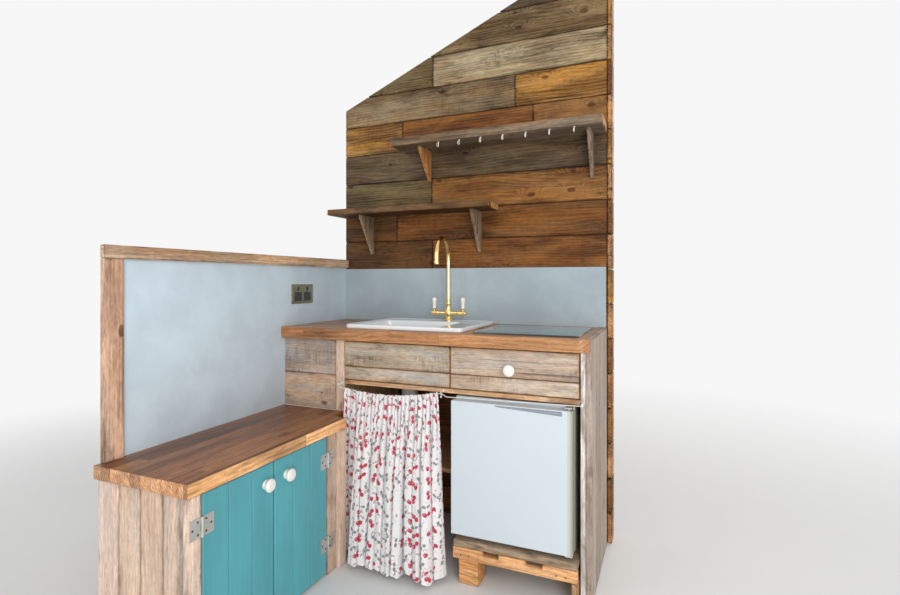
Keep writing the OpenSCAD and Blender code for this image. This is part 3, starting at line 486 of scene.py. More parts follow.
def wood(name, rings=0.34, fibre=0.34, streak=0.38, grey=0.3, stain=0.4, crack=0.5, knots=0.2, edge=(0.5, 0.4, 0.35),
         rough=0.68, relief=0.5, staves=None, coat=0, sawn=0, contrast=1, pitch=0.011, stave_tones=0.16, dirt=0.5,
         cloud=0.42, mottle=0, hues=0, fresh=None):
    """Wood whose grain follows each board's own grain coordinate and tone."""
    n = Nodes(name)
    grain, tone, rim, joint = n.attr("grain"), n.attr("tone", "Color"), n.attr("rim", "Fac"), None

    def grained(scale, shift=(0, 0, 0), detail=3, rough=0.6, distortion=0):
        """Noise stretched along the grain."""
        return n.stretched(grain, scale, detail, rough, distortion, shift)

    if staves:
        brick = n.node("TexBrick", {
            "Vector": grain, "Scale": 1, "Mortar Size": 0.0005, "Mortar Smooth": 0.3, "Bias": 0,
            "Brick Width": staves[0], "Row Height": staves[1], "Color1": (0, 0, 0), "Color2": WHITE,
            "Mortar": (0.5, 0.5, 0.5)}, offset=0.37, offset_frequency=2, squash=1)
        pick, joint = brick.outputs["Color"], brick.outputs["Fac"]
        grain = n.vector("ADD", grain, n.vector("MULTIPLY", pick, (17.3, 9.1, 5.7)))
        low, high = 1 - stave_tones, 1 + stave_tones
        tone = n.multiplied(tone, n.mix(pick, (low, low * 0.96, low * 0.92), (high, high, high)))
    cell = n.cells(n.scaled(grain, (4.2, 8.2, 1)), 1)
    away, (pick_knot, size, _) = cell.outputs["Distance"], n.split(cell.outputs["Color"])
    some = n.math("GREATER_THAN", pick_knot, 1 - knots)
    round_knot = n.times(n.ramp(away, 0.36, 0.03), some)
    knot = n.times(n.ramp(n.math("DIVIDE", away, n.plus(n.times(size, 0.9), 0.3)), 0.085, 0.05), some)
    bend = grained((1.5, 4, 4), detail=2, rough=0.45)
    _, wide, thick = n.node("SeparateXYZ", {0: grain}).outputs
    jag = grained((7, 130, 90))
    across = n.plus(n.times(wide, 1 / pitch), n.times(thick, 0.6 / pitch), n.times(bend, 9),
                    n.times(round_knot, 3.4), n.times(jag, 1.1))
    waves = n.ramp(n.math("PINGPONG", across, 0.5), 0.02, 0.4)
    threads = grained((7, 430, 300), detail=4, rough=0.65)
    lines = grained((2, 85, 60), detail=4, rough=0.62, distortion=0.2)
    slow = grained((2.4, 9, 9), (4, 4, 4), 4)
    figure = n.plus(n.times(waves, rings), n.times(n.ramp(threads, 0.3, 0.7), fibre),
                    n.times(n.ramp(lines, 0.32, 0.68), streak), n.times(n.ramp(slow, 0.34, 0.66), cloud))
    total = rings + fibre + streak + cloud
    figure = n.ramp(figure, total * 0.2, total * 0.82, smooth=False)
    dark = tuple(1 - contrast * (1 - v) for v in (0.5, 0.43, 0.38))
    light = tuple(1 + contrast * (v - 1) for v in (1.46, 1.46, 1.44))
    colour = n.multiplied(tone, n.mix(figure, dark, light))
    if grey:
        patch = n.times(n.ramp(grained((1.6, 16, 16), (3, 1, 2), 5, 0.68, 0.3), 0.42, 0.62), grey)
        faded = n.node("HueSaturation", {"Saturation": 0.5, "Value": 1.12, "Color": colour}).outputs[0]
        colour = n.mix(patch, colour, faded)
    if hues:
        drift = n.ramp(grained((2.6, 15, 15), (2, 7, 3), 4, 0.62), 0.36, 0.64)
        colour = n.tint(hues, colour, n.mix(drift, (0.88, 1, 1.14), (1.16, 0.99, 0.80)))
    if mottle:
        speck = n.ramp(grained((38, 170, 170), (1, 8, 5)), 0.3, 0.7, 0.62, 1.4)
        colour = n.tint(mottle, colour, n.node("CombineColor", dict.fromkeys(range(3), speck)).outputs[0])
        fleck = grained((13, 60, 60), (9, 4, 6), 5, 0.72, 0.3)
        colour = n.tint(n.times(n.ramp(fleck, 0.5, 0.68), mottle), colour, (0.56, 0.53, 0.50))
        colour = n.tint(n.times(n.ramp(fleck, 0.47, 0.3), mottle), colour, (1.26, 1.25, 1.23))
    if stain:
        spots = n.plus(grained((5, 15, 15), (7, 5, 1), 6, 0.72, 0.6), n.times(rim, 0.08))
        colour = n.tint(n.times(n.ramp(spots, 0.56, 0.72), stain), colour, (0.42, 0.36, 0.31))
    if sawn:
        where = n.ramp(grained((3.5, 9, 9), (6, 2, 5)), 0.5, 0.62)
        teeth = n.times(n.ramp(grained((150, 9, 9), (2, 2, 2)), 0.42, 0.62), where, sawn)
        colour = n.tint(teeth, colour, (0.72, 0.68, 0.64))
    grime = n.ramp(grained((7, 40, 40), (8, 1, 4), 4, 0.65), 0.38, 0.6)
    colour = n.tint(n.times(n.ramp(rim, 0.15, 1), grime, dirt), colour, (0.42, 0.36, 0.3))
    bitten = n.ramp(grained((26, 240, 240), rough=0.5), 0.32, 0.55)
    if fresh:
        cut = n.ramp(grained((6, 30, 30), (5, 5, 5), rough=0.5), 0.4, 0.56)
        colour = n.mix(n.times(n.ramp(n.attr("tone", "Alpha"), 0.25, 0.6), cut), colour, fresh)
        colour = n.mix(n.times(n.ramp(rim, 0.2, 0.6), cut, 0.3), colour, fresh)
    colour = n.tint(n.times(n.ramp(rim, 0.7, 0.96), bitten), colour, edge)
    cracks = n.ramp(grained((1.7, 120, 70), (1, 2, 8), 2, 0.45), 0.32, 0.27)
    cracks = n.math("MULTIPLY", cracks, crack, clamp=True)
    colour = n.tint(cracks, colour, (0.3, 0.24, 0.2))
    colour = n.tint(n.times(knot, 0.85), colour, (0.3, 0.19, 0.13))
    height = n.plus(n.times(threads, 0.5), n.times(waves, 0.2))
    if sawn:
        height = n.math("SUBTRACT", height, n.times(teeth, 0.6))
    height = n.math("SUBTRACT", height, cracks)
    if joint is not None:
        colour = n.tint(n.times(joint, 0.6), colour, (0.5, 0.4, 0.32))
    if coat:
        n.set(Coat_Weight=coat, Coat_Roughness=0.28)
    return n.set(Base_Color=colour, Roughness=n.ramp(threads, 0.25, 0.75, rough + 0.1, rough - 0.08),
                 Normal=n.bump(height, relief, 0.0012), Specular_IOR_Level=0.25)


def plain(name, colour, rough=0.4, vary=0.06, relief=0.05, metal=0, size=30, coat=0, smudge=0.1, tint=None):
    """A surface with faint cloudy variation of colour, gloss and height."""
    n = Nodes(name)
    where = n.object_coords()
    cloud = n.noise(where, size * 0.2, 4, 0.6)
    fine = n.noise(where, size * 6, 3, 0.6)
    base = n.mix(n.ramp(cloud, 0.3, 0.7), *shades(colour, 1 - vary, 1 + vary))
    if tint:
        base = n.mix(n.times(n.ramp(fine, 0.55, 0.7), tint[3]), base, tint[:3])
    if coat:
        n.set(Coat_Weight=coat, Coat_Roughness=0.08)
    return n.set(Base_Color=base, Metallic=metal, Specular_IOR_Level=0.5,
                 Roughness=n.ramp(n.plus(n.times(cloud, 0.6), n.times(fine, 0.4)), 0.3, 0.7,
                                  max(rough - smudge, 0.02), rough + smudge),
                 Normal=n.bump(fine, relief, 0.0006))


PLANKS = wood("weathered_planks", rings=0.26, fibre=0.3, streak=0.2, cloud=0.66, mottle=0.4, hues=0.55, grey=0.1,
              stain=1, crack=1, knots=0.5, relief=0.7, sawn=0.5, contrast=1.22, dirt=1, pitch=0.013)
FRONTS = wood("front_wood", rings=0.07, fibre=0.42, streak=0.12, cloud=0.6, mottle=0.4, hues=0.65, grey=0.25,
              stain=0.95, crack=0.7, knots=0.16, edge=(0.4, 0.3, 0.22), rough=0.62, contrast=0.56, sawn=1, dirt=0.6,
              pitch=0.010, fresh=(0.66, 0.36, 0.16))
UPRIGHTS = wood("upright_wood", rings=0.2, fibre=0.4, streak=0.16, cloud=0.4, mottle=0.34, hues=0.2, grey=0.15,
                stain=0.7, crack=0.6, knots=0.3, edge=(0.4, 0.28, 0.2), rough=0.62, contrast=0.4, sawn=0.15,
                pitch=0.015, dirt=0.7)
SHELVES = wood("shelf_wood", cloud=0.5, mottle=0.5, grey=0.45, stain=0.6, crack=0.9, knots=0.1, relief=0.6, sawn=0.25,
               contrast=1.1, dirt=0.6, fresh=(0.50, 0.26, 0.11))
TRIM = wood("brown_trim", rings=0.12, grey=0.35, stain=0.8, crack=0.7, knots=0.1, rough=0.6, relief=0.45, contrast=0.8,
            cloud=0.5, mottle=0.4, hues=0.4, sawn=0.2, dirt=0.8)
PINE = wood("pine", rings=0.42, fibre=0.25, streak=0.25, grey=0.1, stain=0.2, crack=0.2, knots=0.14, rough=0.55,
            relief=0.3, contrast=0.7)
PALLET = wood("pallet_wood", rings=0.3, streak=0.2, grey=0.15, stain=0.75, crack=0.8, relief=0.65, sawn=0.3,
              contrast=0.75, mottle=0.35, hues=0.3)
WORKTOP = wood("oiled_worktop", rings=0.26, fibre=0.32, streak=0.3, mottle=0.4, hues=0.35, grey=0, stain=0.75,
               crack=0.3, knots=0, edge=(0.6, 0.48, 0.38), rough=0.4, relief=0.14, staves=(0.62, 0.041), coat=0.22,
               contrast=0.95, stave_tones=0.34, dirt=0)
STEEL = plain("hook_metal", (0.62, 0.62, 0.6), 0.38, 0.1, 0.1, 0.9, smudge=0.12, tint=(0.36, 0.34, 0.3, 0.4))
WHITE_METAL = plain("cup_hook_white", (0.78, 0.76, 0.7), 0.3, 0.05, metal=0.2)
BRASS = plain("tap_brass", (0.86, 0.6, 0.24), 0.16, 0.07, 0.03, 1, smudge=0.06)
PORCELAIN = plain("knob_ceramic", (0.85, 0.83, 0.78), 0.16, 0.02, 0.03, coat=0.6, smudge=0.05)
CERAMIC = plain("sink_ceramic", (0.83, 0.85, 0.86), 0.14, 0.015, 0.04, size=12, coat=0.7, smudge=0.05)
SPLASH = plain("splash_panel", (0.37, 0.445, 0.485), 0.42, 0.09, 0.06)
# The splash panel's paint made lighter for the side panel: painted light from the side
SPLASH_SIDE_LIT = plain("splash_panel_pale", (0.57, 0.68, 0.765), 0.42, 0.07, 0.06)
ENAMEL = plain("fridge_enamel", (0.605, 0.67, 0.72), 0.34, 0.012, 0, size=5, coat=0.2, smudge=0.03)
CREAM = plain("fridge_cream", (0.56, 0.565, 0.50), 0.36, 0.03, 0, size=5)
# A darker copy of the cream: painted shade on the fridge's right-hand sides
SIDE_SHADE = plain("fridge_side_shade", (0.36, 0.37, 0.31), 0.4, 0.03, 0, size=5)
# The grip's grey, darkened to carry the shade in its recess too: partly painted shade
GRIP_GREY_AND_SHADE = plain("grip_grey", (0.30, 0.32, 0.37), 0.5)
GASKET = plain("fridge_gasket", (0.42, 0.43, 0.43), 0.6, 0.05, 0.1)
LINER = plain("fridge_liner", (0.8, 0.81, 0.81), 0.34, 0.02, 0.06)
SHELF_GLASS = plain("fridge_glass", (0.68, 0.78, 0.77), 0.12, 0.02, 0.02)
# Black rubber for the fridge's feet, and painted shade in the socket's pin holes
RUBBER_AND_HOLE_SHADE = plain("black_rubber", (0.03, 0.03, 0.032), 0.7, 0.2, 0.3)
# Black for the socket's inserts and switches, and painted shade as a disc inside the tap's mouth
BLACK_AND_SHADE = plain("black_and_mouth_shade", (0.05, 0.052, 0.055), 0.6, 0.15, 0.1)
HOB_METAL = plain("hob_metal", (0.16, 0.165, 0.17), 0.45, 0.1, metal=0.6)
PLASTIC = plain("waste_plastic", (0.76, 0.76, 0.73), 0.4, 0.04, 0.1)
WIRE = plain("wire_metal", (0.78, 0.78, 0.75), 0.4, 0.04, 0.1)
SOCKET = plain("socket_metal", (0.34, 0.3, 0.2), 0.34, 0.12, 0.1, 0.85, size=40, smudge=0.12)
NAIL = plain("nail_heads", (0.09, 0.075, 0.065), 0.6, 0.3, 0.3, 0.6, tint=(0.2, 0.09, 0.04, 0.5))


def paint(name, colour, bare):
    """Brushed paint over boards, darkened with painted shade along their edges and in the grooves between them, and
    worn to the wood in places along their edges.
    """
    n = Nodes(name)
    grain, rim = n.attr("grain"), n.attr("rim", "Fac")
    brush = n.stretched(grain, (3, 120, 90))
    cloud = n.stretched(grain, (3, 7, 7), 3, 0.55)
    chips = n.stretched(grain, (30, 70, 70), 4, 0.7)
    base = n.mix(n.ramp(cloud, 0.3, 0.7), *shades(colour, 0.9, 1.1))
    groove_shade, strokes = shades(colour, 0.38, 1.3)
    base = n.mix(n.ramp(brush, 0.35, 0.7, 0, 0.25), base, strokes)
    # Painted shade: the paint darkened along the board edges and in the V-grooves between boards
    base = n.mix(n.ramp(rim, 0.6, 0.9, 0, 0.8), base, groove_shade)
    worn = n.times(n.ramp(rim, 0.7, 1), n.ramp(chips, 0.62, 0.68))
    base = n.mix(worn, base, bare)
    return n.set(Base_Color=base, Roughness=n.ramp(cloud, 0.3, 0.7, 0.36, 0.48),
                 Normal=n.bump(n.math("SUBTRACT", brush, worn), 0.3, 0.0008))


TEAL = paint("teal_boards", (0.083, 0.35, 0.40), (0.42, 0.3, 0.2))
BORDER = 5  # of the hob's glass


def glass_top():
    """Dark glass with four thin printed zones, a black border and faint smears."""
    n = Nodes("hob_glass")
    (x0, x1), (y0, y1), (_, z1) = span("hob_glass")
    where = n.object_coords()
    lines = None
    for fx, fy, r in ((0.27, 0.3, 72), (0.27, 0.74, 58), (0.73, 0.3, 58), (0.73, 0.74, 72)):
        centre = place([x0 + fx * (x1 - x0), y0 + fy * (y1 - y0), z1])
        away = n.vector("LENGTH", n.vector("SUBTRACT", where, tuple(centre)))
        line = n.ramp(n.math("ABSOLUTE", n.math("SUBTRACT", away, r * MM)), 0.0012, 0.0006)
        lines = line if lines is None else n.math("MAXIMUM", lines, line)
    smear = n.stretched(where, (4, 9, 4), 4, 0.6, 0.5)
    base = n.mix(n.times(lines, 0.5), (0.03, 0.13, 0.125), (0.3, 0.36, 0.36))
    parts = n.node("SeparateXYZ", {0: where}).outputs
    middle = place([(x0 + x1) / 2, (y0 + y1) / 2, z1])
    over = [n.math("SUBTRACT", n.math("ABSOLUTE", n.math("SUBTRACT", parts[i], float(middle[i]))), half * MM)
            for i, half in ((0, (x1 - x0) / 2 - BORDER), (1, (y1 - y0) / 2 - BORDER))]
    base = n.mix(n.ramp(n.math("MAXIMUM", *over), -0.0006, 0.0006), base, (0.012, 0.016, 0.016))
    return n.set(Base_Color=base, Roughness=n.ramp(smear, 0.35, 0.7, 0.04, 0.12), Specular_IOR_Level=0.65,
                 Coat_Weight=0.5, Coat_Roughness=0.03)


def print_cloth():
    """White cotton with a scattered print of round berries and grey-green leaves."""
    n = Nodes("print_fabric")
    flat = n.attr("grain")
    base = (0.95, 0.92, 0.93)
    colour = n.mix(n.ramp(n.noise(flat, 9, 3), 0.3, 0.7), *shades(base, 0.97, 1))

    def scatter(pitch, shift):
        """Coordinates round scattered points, each turned its own way, and three random values of each point."""
        moved = n.scaled(flat, WHITE, shift)
        cell = n.cells(moved, 1 / pitch)
        n.put(cell.inputs["Randomness"], 0.62)
        picks = n.split(cell.outputs["Color"])
        turn = n.node("VectorRotate", {"Vector": n.vector("SUBTRACT", moved, cell.outputs["Position"]),
                                       "Angle": n.times(n.math("SUBTRACT", picks[0], 0.5), 3.4)},
                      rotation_type="Z_AXIS")
        return turn.outputs[0], picks

    def blob(local, x, y, rx, ry, soft=0.12):
        """An ellipse, in metres."""
        moved = n.scaled(local, (1 / rx, 1 / ry, 0), (-x / rx, -y / ry, 0))
        return n.ramp(n.vector("LENGTH", moved), 1 + soft, 1 - soft)

    def pair(local, one, other):
        return n.math("MAXIMUM", blob(local, *one), blob(local, *other))

    local, picks = scatter(0.056, (0, 0, 0))
    two = n.math("GREATER_THAN", picks[1], 0.35)
    berry = n.math("MAXIMUM", blob(local, -0.0075, -0.011, 0.0086, 0.0076),
                   n.times(blob(local, 0.0085, -0.0095, 0.0080, 0.0072), two))
    bent = n.vector("MULTIPLY", n.noise(flat, 14, output="Color"), (0.03, 0.03, 0))
    line = n.cells(n.vector("ADD", flat, bent), 30, "DISTANCE_TO_EDGE")
    broken = n.ramp(n.noise(flat, 38), 0.5, 0.58)
    stalks = n.times(n.ramp(line.outputs["Distance"], 0.045, 0.015), broken, 0.5)
    stems = pair(local, (-0.0045, 0.002, 0.0007, 0.011), (0.0055, 0.002, 0.0007, 0.0095))
    leaf = pair(local, (-0.0085, 0.0155, 0.0080, 0.0050), (0.0085, 0.017, 0.0074, 0.0046))
    small, small_picks = scatter(0.034, (0.13, 0.07, 0))
    twig = n.times(pair(small, (0, 0, 0.0052, 0.0027), (0.005, -0.004, 0.0036, 0.0021)),
                   n.math("GREATER_THAN", small_picks[2], 0.35))
    bud = n.times(blob(small, -0.006, 0.006, 0.0036, 0.0034), n.math("GREATER_THAN", small_picks[1], 0.62))
    for mask, ink in ((stalks, (0.28, 0.3, 0.3)), (n.times(twig, 0.75), (0.24, 0.27, 0.25)),
                      (n.times(bud, 0.8), (0.66, 0.2, 0.24)), (n.times(stems, 0.7), (0.3, 0.27, 0.24)),
                      (n.times(leaf, 0.8), (0.15, 0.17, 0.165))):
        colour = n.mix(mask, colour, ink)
    shine = blob(local, -0.0105, -0.009, 0.003, 0.003, 0.6)
    colour = n.mix(berry, colour, n.mix(n.times(shine, 0.5), (0.62, 0.05, 0.09), (0.9, 0.5, 0.52)))
    # Painted shade in the fold hollows, weighted by the rim attribute that the curtain gives each point
    colour = n.tint(n.times(n.attr("rim", "Fac"), 0.7), colour, (0.46, 0.40, 0.45))
    threads = [n.node("TexWave", {"Vector": flat, "Scale": 190}, wave_type="BANDS", bands_direction=way).outputs["Fac"]
               for way in "XY"]
    n.set(Base_Color=colour, Roughness=0.86, Normal=n.bump(n.plus(*threads), 0.25, 0.0003), Specular_IOR_Level=0.2,
          Sheen_Weight=0.15)
    return n.blend(0.16, n.bsdf, n.node("BsdfTranslucent", {"Color": colour}))


HOB_GLASS = glass_top()
CLOTH = print_cloth()

# Tones of the wood, in linear colour
BROWN = (0.185, 0.071, 0.014)
DARK_BROWN = (0.090, 0.039, 0.010)
GREY_BROWN = (0.182, 0.124, 0.058)
DUSKY = (0.093, 0.064, 0.034)
PALE_GREY = (0.31, 0.24, 0.14)
OLIVE = (0.128, 0.094, 0.040)
ORANGE = (0.31, 0.160, 0.036)
HONEY = (0.228, 0.103, 0.026)
BEIGE = (0.50, 0.38, 0.29)
SAND = (0.72, 0.55, 0.44)
ASH = (0.46, 0.395, 0.35)
RAW = (0.74, 0.43, 0.20)
OAK = (0.44, 0.215, 0.094)

# Partition

COURSE_H, FIRST_COURSE, COURSE_GAP, COURSES = 146, 125, 2, 18
PLANK_T, RUN_L, ROOF_LOW, ROOF_HIGH = 20, 1295, 1968, 2514
FRONT_COURSES = {
    17: [(0, RUN_L, GREY_BROWN)], 16: [(0, RUN_L, DUSKY)], 15: [(0, RUN_L, GREY_BROWN)],
    14: [(0, 494, OLIVE), (494, RUN_L, PALE_GREY)],
    13: [(0, 898, (0.21, 0.148, 0.08)), (898, RUN_L, ORANGE)],
    12: [(0, 330, ORANGE), (330, 980, BROWN), (980, RUN_L, HONEY)],
    11: [(0, RUN_L, DUSKY)],
    10: [(0, 488, OLIVE), (488, RUN_L, HONEY)],
    9: [(0, 300, DARK_BROWN), (300, RUN_L, (0.155, 0.060, 0.011))],
    8: [(0, 491, DARK_BROWN), (491, RUN_L, BROWN)],
}
BACK_TONES = (GREY_BROWN, BROWN, DUSKY, OLIVE, HONEY)
TONGUE_GRIP = 3
NAIL_R, NAIL_IN, STUDS, STUD_CLEAR, SHORTEST, END_GAP = 3.4, 22, (420, 860), 60, 20, 0.6


def roof(x):
    return ROOF_LOW + (ROOF_HIGH - ROOF_LOW) * x / RUN_L


def under_roof(z):
    """Where the roof's slope passes the height z."""
    return (z - ROOF_LOW) / (ROOF_HIGH - ROOF_LOW) * RUN_L


def course(i):
    return (0 if i == 0 else FIRST_COURSE + (i - 1) * COURSE_H), FIRST_COURSE + i * COURSE_H - COURSE_GAP


def planks(y, plan, seed, nails_on=None):
    """Courses of boards under the roof's slope, with two nails at each end and stud."""
    shape = Shape()
    rng = np.random.default_rng(seed)
    for i in range(COURSES):
        z0, z1 = course(i)
        start = under_roof(z0) + 5
        for k, (x0, x1, tone) in enumerate(plan(i)):
            if start > x1 - SHORTEST:
                continue
            x0 = max(x0, start)
            top = (lambda l, x0=x0, z0=z0: roof(x0 + l) - z0) if roof(x0) < z1 else None
            board(shape, (x0 + (END_GAP if k else 0), x1), y, (z0, z1), "x", tone, seed + 10 * i + k, wear=1.0,
                  top=top, c=2.2)
            if nails_on is None:
                continue
            backed = [stud for stud in STUDS if x0 + STUD_CLEAR < stud < x1 - STUD_CLEAR]
            for x in (x0 + NAIL_IN, x1 - NAIL_IN, *backed):
                for f in (0.22, 0.78):
                    z = z0 + f * (z1 - z0) + rng.uniform(-6, 6)
                    if z < roof(x) - 12:
                        lathe(shape, [(NAIL_R, -1.0), (NAIL_R, 0.2), (NAIL_R * 0.7, 0.6)],
                              (x + rng.uniform(-4, 4), nails_on, z), FORWARD, 8, 1)
    return shape


planks((-PLANK_T, 0), lambda i: FRONT_COURSES.get(i, [(0, RUN_L, BROWN)]), 100, -1.3).make(
    "planks_front", [PLANKS, NAIL], ["partition_front"])
planks((-PARTITION_T, PLANK_T - PARTITION_T), lambda i: [(0, RUN_L, BACK_TONES[i * 3 % 5])], 500).make(
    "planks_back", [PLANKS], ["partition_back"])

# Tongues close the gaps between the front boards, so that no light shows through the wall
shape = Shape()
for i in range(COURSES - 1):
    z0, z1 = course(i)[1] - TONGUE_GRIP, course(i + 1)[0] + TONGUE_GRIP
    start = max(0, under_roof(z1 + 6))
    if start < RUN_L - 40:
        board(shape, (start, RUN_L), (4 - PLANK_T, 10 - PLANK_T), (z0, z1), "x", DARK_BROWN, 950 + i, c=0.4, wear=0.0,
              pitch=300)
shape.make("plank_tongues", [PLANKS])

x, y, (_, top_z) = span("corner_boards")
rows = [(x, y, (course(i)[0], min(course(i)[1], top_z)), "y",
         ((0.40, 0.21, 0.085), HONEY, (0.43, 0.23, 0.09), ORANGE)[i % 4], 800 + i)
        for i in range(COURSES) if course(i)[0] < top_z - 4]
boarded("corner_ends", [PLANKS], "corner_boards", rows, wear=1.3, c=2.4)

# Splashbacks, socket, shelves

boarded("splash_panel_back", [SPLASH], "splash_back", [span("splash_back")], wear=0.05, c=0.9)
(sx0, sx1), (sy0, sy1), (sz0, sz1) = span("splash_side")
_, (_, wy1), (wz0, wz1) = span("worktop")
fronts_y = span("face_frame")[1][1]
shape = Shape()
prism(shape, [(sy0, wz1), (sy0, sz1), (sy1, sz1), (sy1, sz0), (fronts_y, sz0), (fronts_y, wz0), (wy1, wz0), (wy1, wz1)],
      "x", sx0, sx1, 0.8)
# The side panel takes the lighter copy of the splash paint: painted light
shape.make("splash_panel_side", [SPLASH_SIDE_LIT], ["splash_side"], slot="splash_panel")

x, (ty0, ty1), (tz0, tz1) = span("splash_trim")
SIDE_POST_W, SIDE_RAIL_H = 60, 41
boarded("splash_frame", [TRIM], "splash_trim", [
    (x, (ty1 - SIDE_POST_W, ty1), (tz0, tz1 - SIDE_RAIL_H), "z", (0.62, 0.395, 0.275), 21),
    (x, (ty0, ty1), (tz1 - SIDE_RAIL_H, tz1), "y", (0.56, 0.375, 0.235), 22)], c=2)

(px0, px1), (py0, py1), (pz0, pz1) = span("socket")
plate = px0 + 5
shape = loft(Shape(), [[(x, a, b) for a, b, _ in rounded(py0 + i, py1 - i, pz0 + i, pz1 - i, 4, arc=4)]
                       for x, i in ((px0, 0), (plate - 1.5, 0), (plate - 0.3, 0.8), (plate, 2.2))])
# The pin holes are black patches on the inserts: painted shade in the holes
HOLE = (plate, plate + 0.9, 0.2, 2)
# Each outlet's face, its three holes and its switch: centre across and up, width, height, low, high, easing, material
OUTLET = ((0, 32, 48, 40, plate - 1, plate + 0.6, 0.4, 1), (0, 40, 4, 9, *HOLE), (-11, 24, 9, 5, *HOLE),
          (11, 24, 9, 5, *HOLE), (0, 66, 12, 18, plate - 1, px1, 0.8, 1))
for k, yc in enumerate((py0 + 42, py1 - 42)):
    for a, b, w, h, low, high, c, mat in OUTLET:
        prism(shape, rect(yc + a - w / 2, yc + a + w / 2, pz0 + b - h / 2, pz0 + b + h / 2), "x", low, high, c, mat=mat,
              seed=k)
for yc in (py0 + 13, py1 - 13):
    screw(shape, (plate, yc, (pz0 + pz1) / 2), RIGHT, 3.2, 0.5, 0)
shape.make("socket_plate", [SOCKET, BLACK_AND_SHADE, RUBBER_AND_HOLE_SHADE], ["socket"])

for word, tone, seed in (("upper", (0.175, 0.123, 0.078), 31), ("lower", (0.09, 0.038, 0.008), 32)):
    boarded("shelf_board_" + word, [SHELVES], "shelf_" + word, [(*span("shelf_" + word), "x", tone, seed)], wear=1.2,
            c=2.5)

BRACKET_T, BRACKET_NOSE, BRACKET_D, SCREW_UP = 15, 18, 118, 26


def brackets(word, inset, tones, short=0):
    """Two shelf brackets, the left one shorter, each with a screw in its slope."""
    (x0, x1), (y0, _), (z_low, z1) = span("brackets_" + word)
    y1 = y0 + BRACKET_D
    nose = y0 + BRACKET_NOSE / 2
    made = Shape()
    for k, x in enumerate((x0 + inset, x1 - BRACKET_T)):
        z0 = z_low if k else z_low + short
        outline = [(y0, z1), (y0, z0), (nose, z0), (y1 - 6, z1 - BRACKET_NOSE - 4), (y1, z1 - BRACKET_NOSE + 4),
                   (y1, z1)]
        prism(made, outline, "x", x, x + BRACKET_T, 1.4, "z", tones[k], 40 + k)
        reach = nose + (y1 - 6 - nose) * SCREW_UP / (z1 - z0 - BRACKET_NOSE)
        screw(made, (x + BRACKET_T / 2, reach - 0.6, z0 + SCREW_UP), (0, 1, -0.75), 3.2, 0.8)
    made.make("brackets_shelf_" + word, [SHELVES, NAIL], ["brackets_" + word])


brackets("upper", 9, ((0.42, 0.19, 0.06), (0.2, 0.14, 0.09)), 41)
brackets("lower", 5, ((0.24, 0.165, 0.10), (0.22, 0.15, 0.09)))

# Worktops, sink, hob

soften("worktop", 2.2, "x", OAK, 51).make("worktop_oak", [WORKTOP], ["worktop"], angle=32)
# The low worktop's front face, at the highest x, takes a much lighter tone than its top: painted light on that face
soften("low_worktop", 2.2, "y", (0.25, 0.107, 0.042), 52, (1.0, 0.575, 0.265), (0.48, 0.265, 0.14)).make(
    "worktop_low_oak", [WORKTOP], ["low_worktop"], angle=32)

(kx0, kx1), (ky0, ky1), (_, kz1) = span("sink")
kz0 = span("bowl_shell")[2][0]
INSET, MARGIN, BOWL_L, BOWL_D, BOWL_R, BOWL_T, WASTE_R = 15, 32, 370, 275, 30, 11, 30
bx0, bx1 = kx0 + MARGIN, kx0 + MARGIN + BOWL_L
by0, by1 = ky1 - MARGIN - BOWL_D, ky1 - MARGIN
floor_z = kz0 + BOWL_T


def bowl_ring(grow, z, r=BOWL_R):
    return rounded(bx0 - grow, bx1 + grow, by0 - grow, by1 + grow, max(r + grow, 6), z)


def deck_ring(inset, z):
    return rounded(kx0 + inset, kx1 - inset, ky0 + inset, ky1 - inset, max(22 - inset, 4), z)


def waste_ring(r, z):
    x, y = (bx0 + bx1) / 2, (by0 + by1) / 2
    return rounded(x - r, x + r, y - r, y + r, r * 0.999, z)


UNDERSIDE = ((-26, 0, 40), (-8, 6), (0, 24))
ROLL = ((0, -6), (1.6, -2.2), (4.5, -0.3), (7.5, 0), (12, -0.6), (16, -2.6), (20, -3.2))
BOWL_MOUTH = ((9, -3.6), (5, -4.4), (2, -7), (0.4, -12), (-0.5, -30))
BOWL_FLOOR = ((-3, 34), (-6, 16), (-13, 5), (-24, 1.6))
loft(Shape(), [waste_ring(WASTE_R, kz0), waste_ring(WASTE_R + 40, kz0),
               *(bowl_ring(BOWL_T + g, kz0 + z, *r) for g, z, *r in UNDERSIDE), bowl_ring(BOWL_T, wz1 - 13),
               deck_ring(INSET, wz1 - 12), deck_ring(INSET, wz1), deck_ring(3, wz1 + 0.2), deck_ring(0.6, wz1 + 2),
               deck_ring(0, wz1 + 5), *(deck_ring(i, kz1 + z) for i, z in ROLL),
               *(bowl_ring(g, kz1 + z) for g, z in BOWL_MOUTH), *(bowl_ring(g, floor_z + z) for g, z in BOWL_FLOOR),
               waste_ring(WASTE_R + 14, floor_z + 0.3), waste_ring(WASTE_R, floor_z)], loop=True).make(
    "sink_basin", [CERAMIC], ["sink", "bowl_shell"], angle=60)

(hx0, hx1), (hy0, hy1), (hz0, hz1) = span("hob_glass")
loft(Shape(), [rounded(hx0 + i, hx1 - i, hy0 + i, hy1 - i, 7, z, 6)
               for i, z in ((0.8, hz0), (0, hz0 + 0.8), (0, hz1 - 1.6), (0.6, hz1 - 0.5), (1.8, hz1))]).make(
    "hob_plate", [HOB_GLASS], ["hob_glass"], angle=30)

# Fronts and carcass

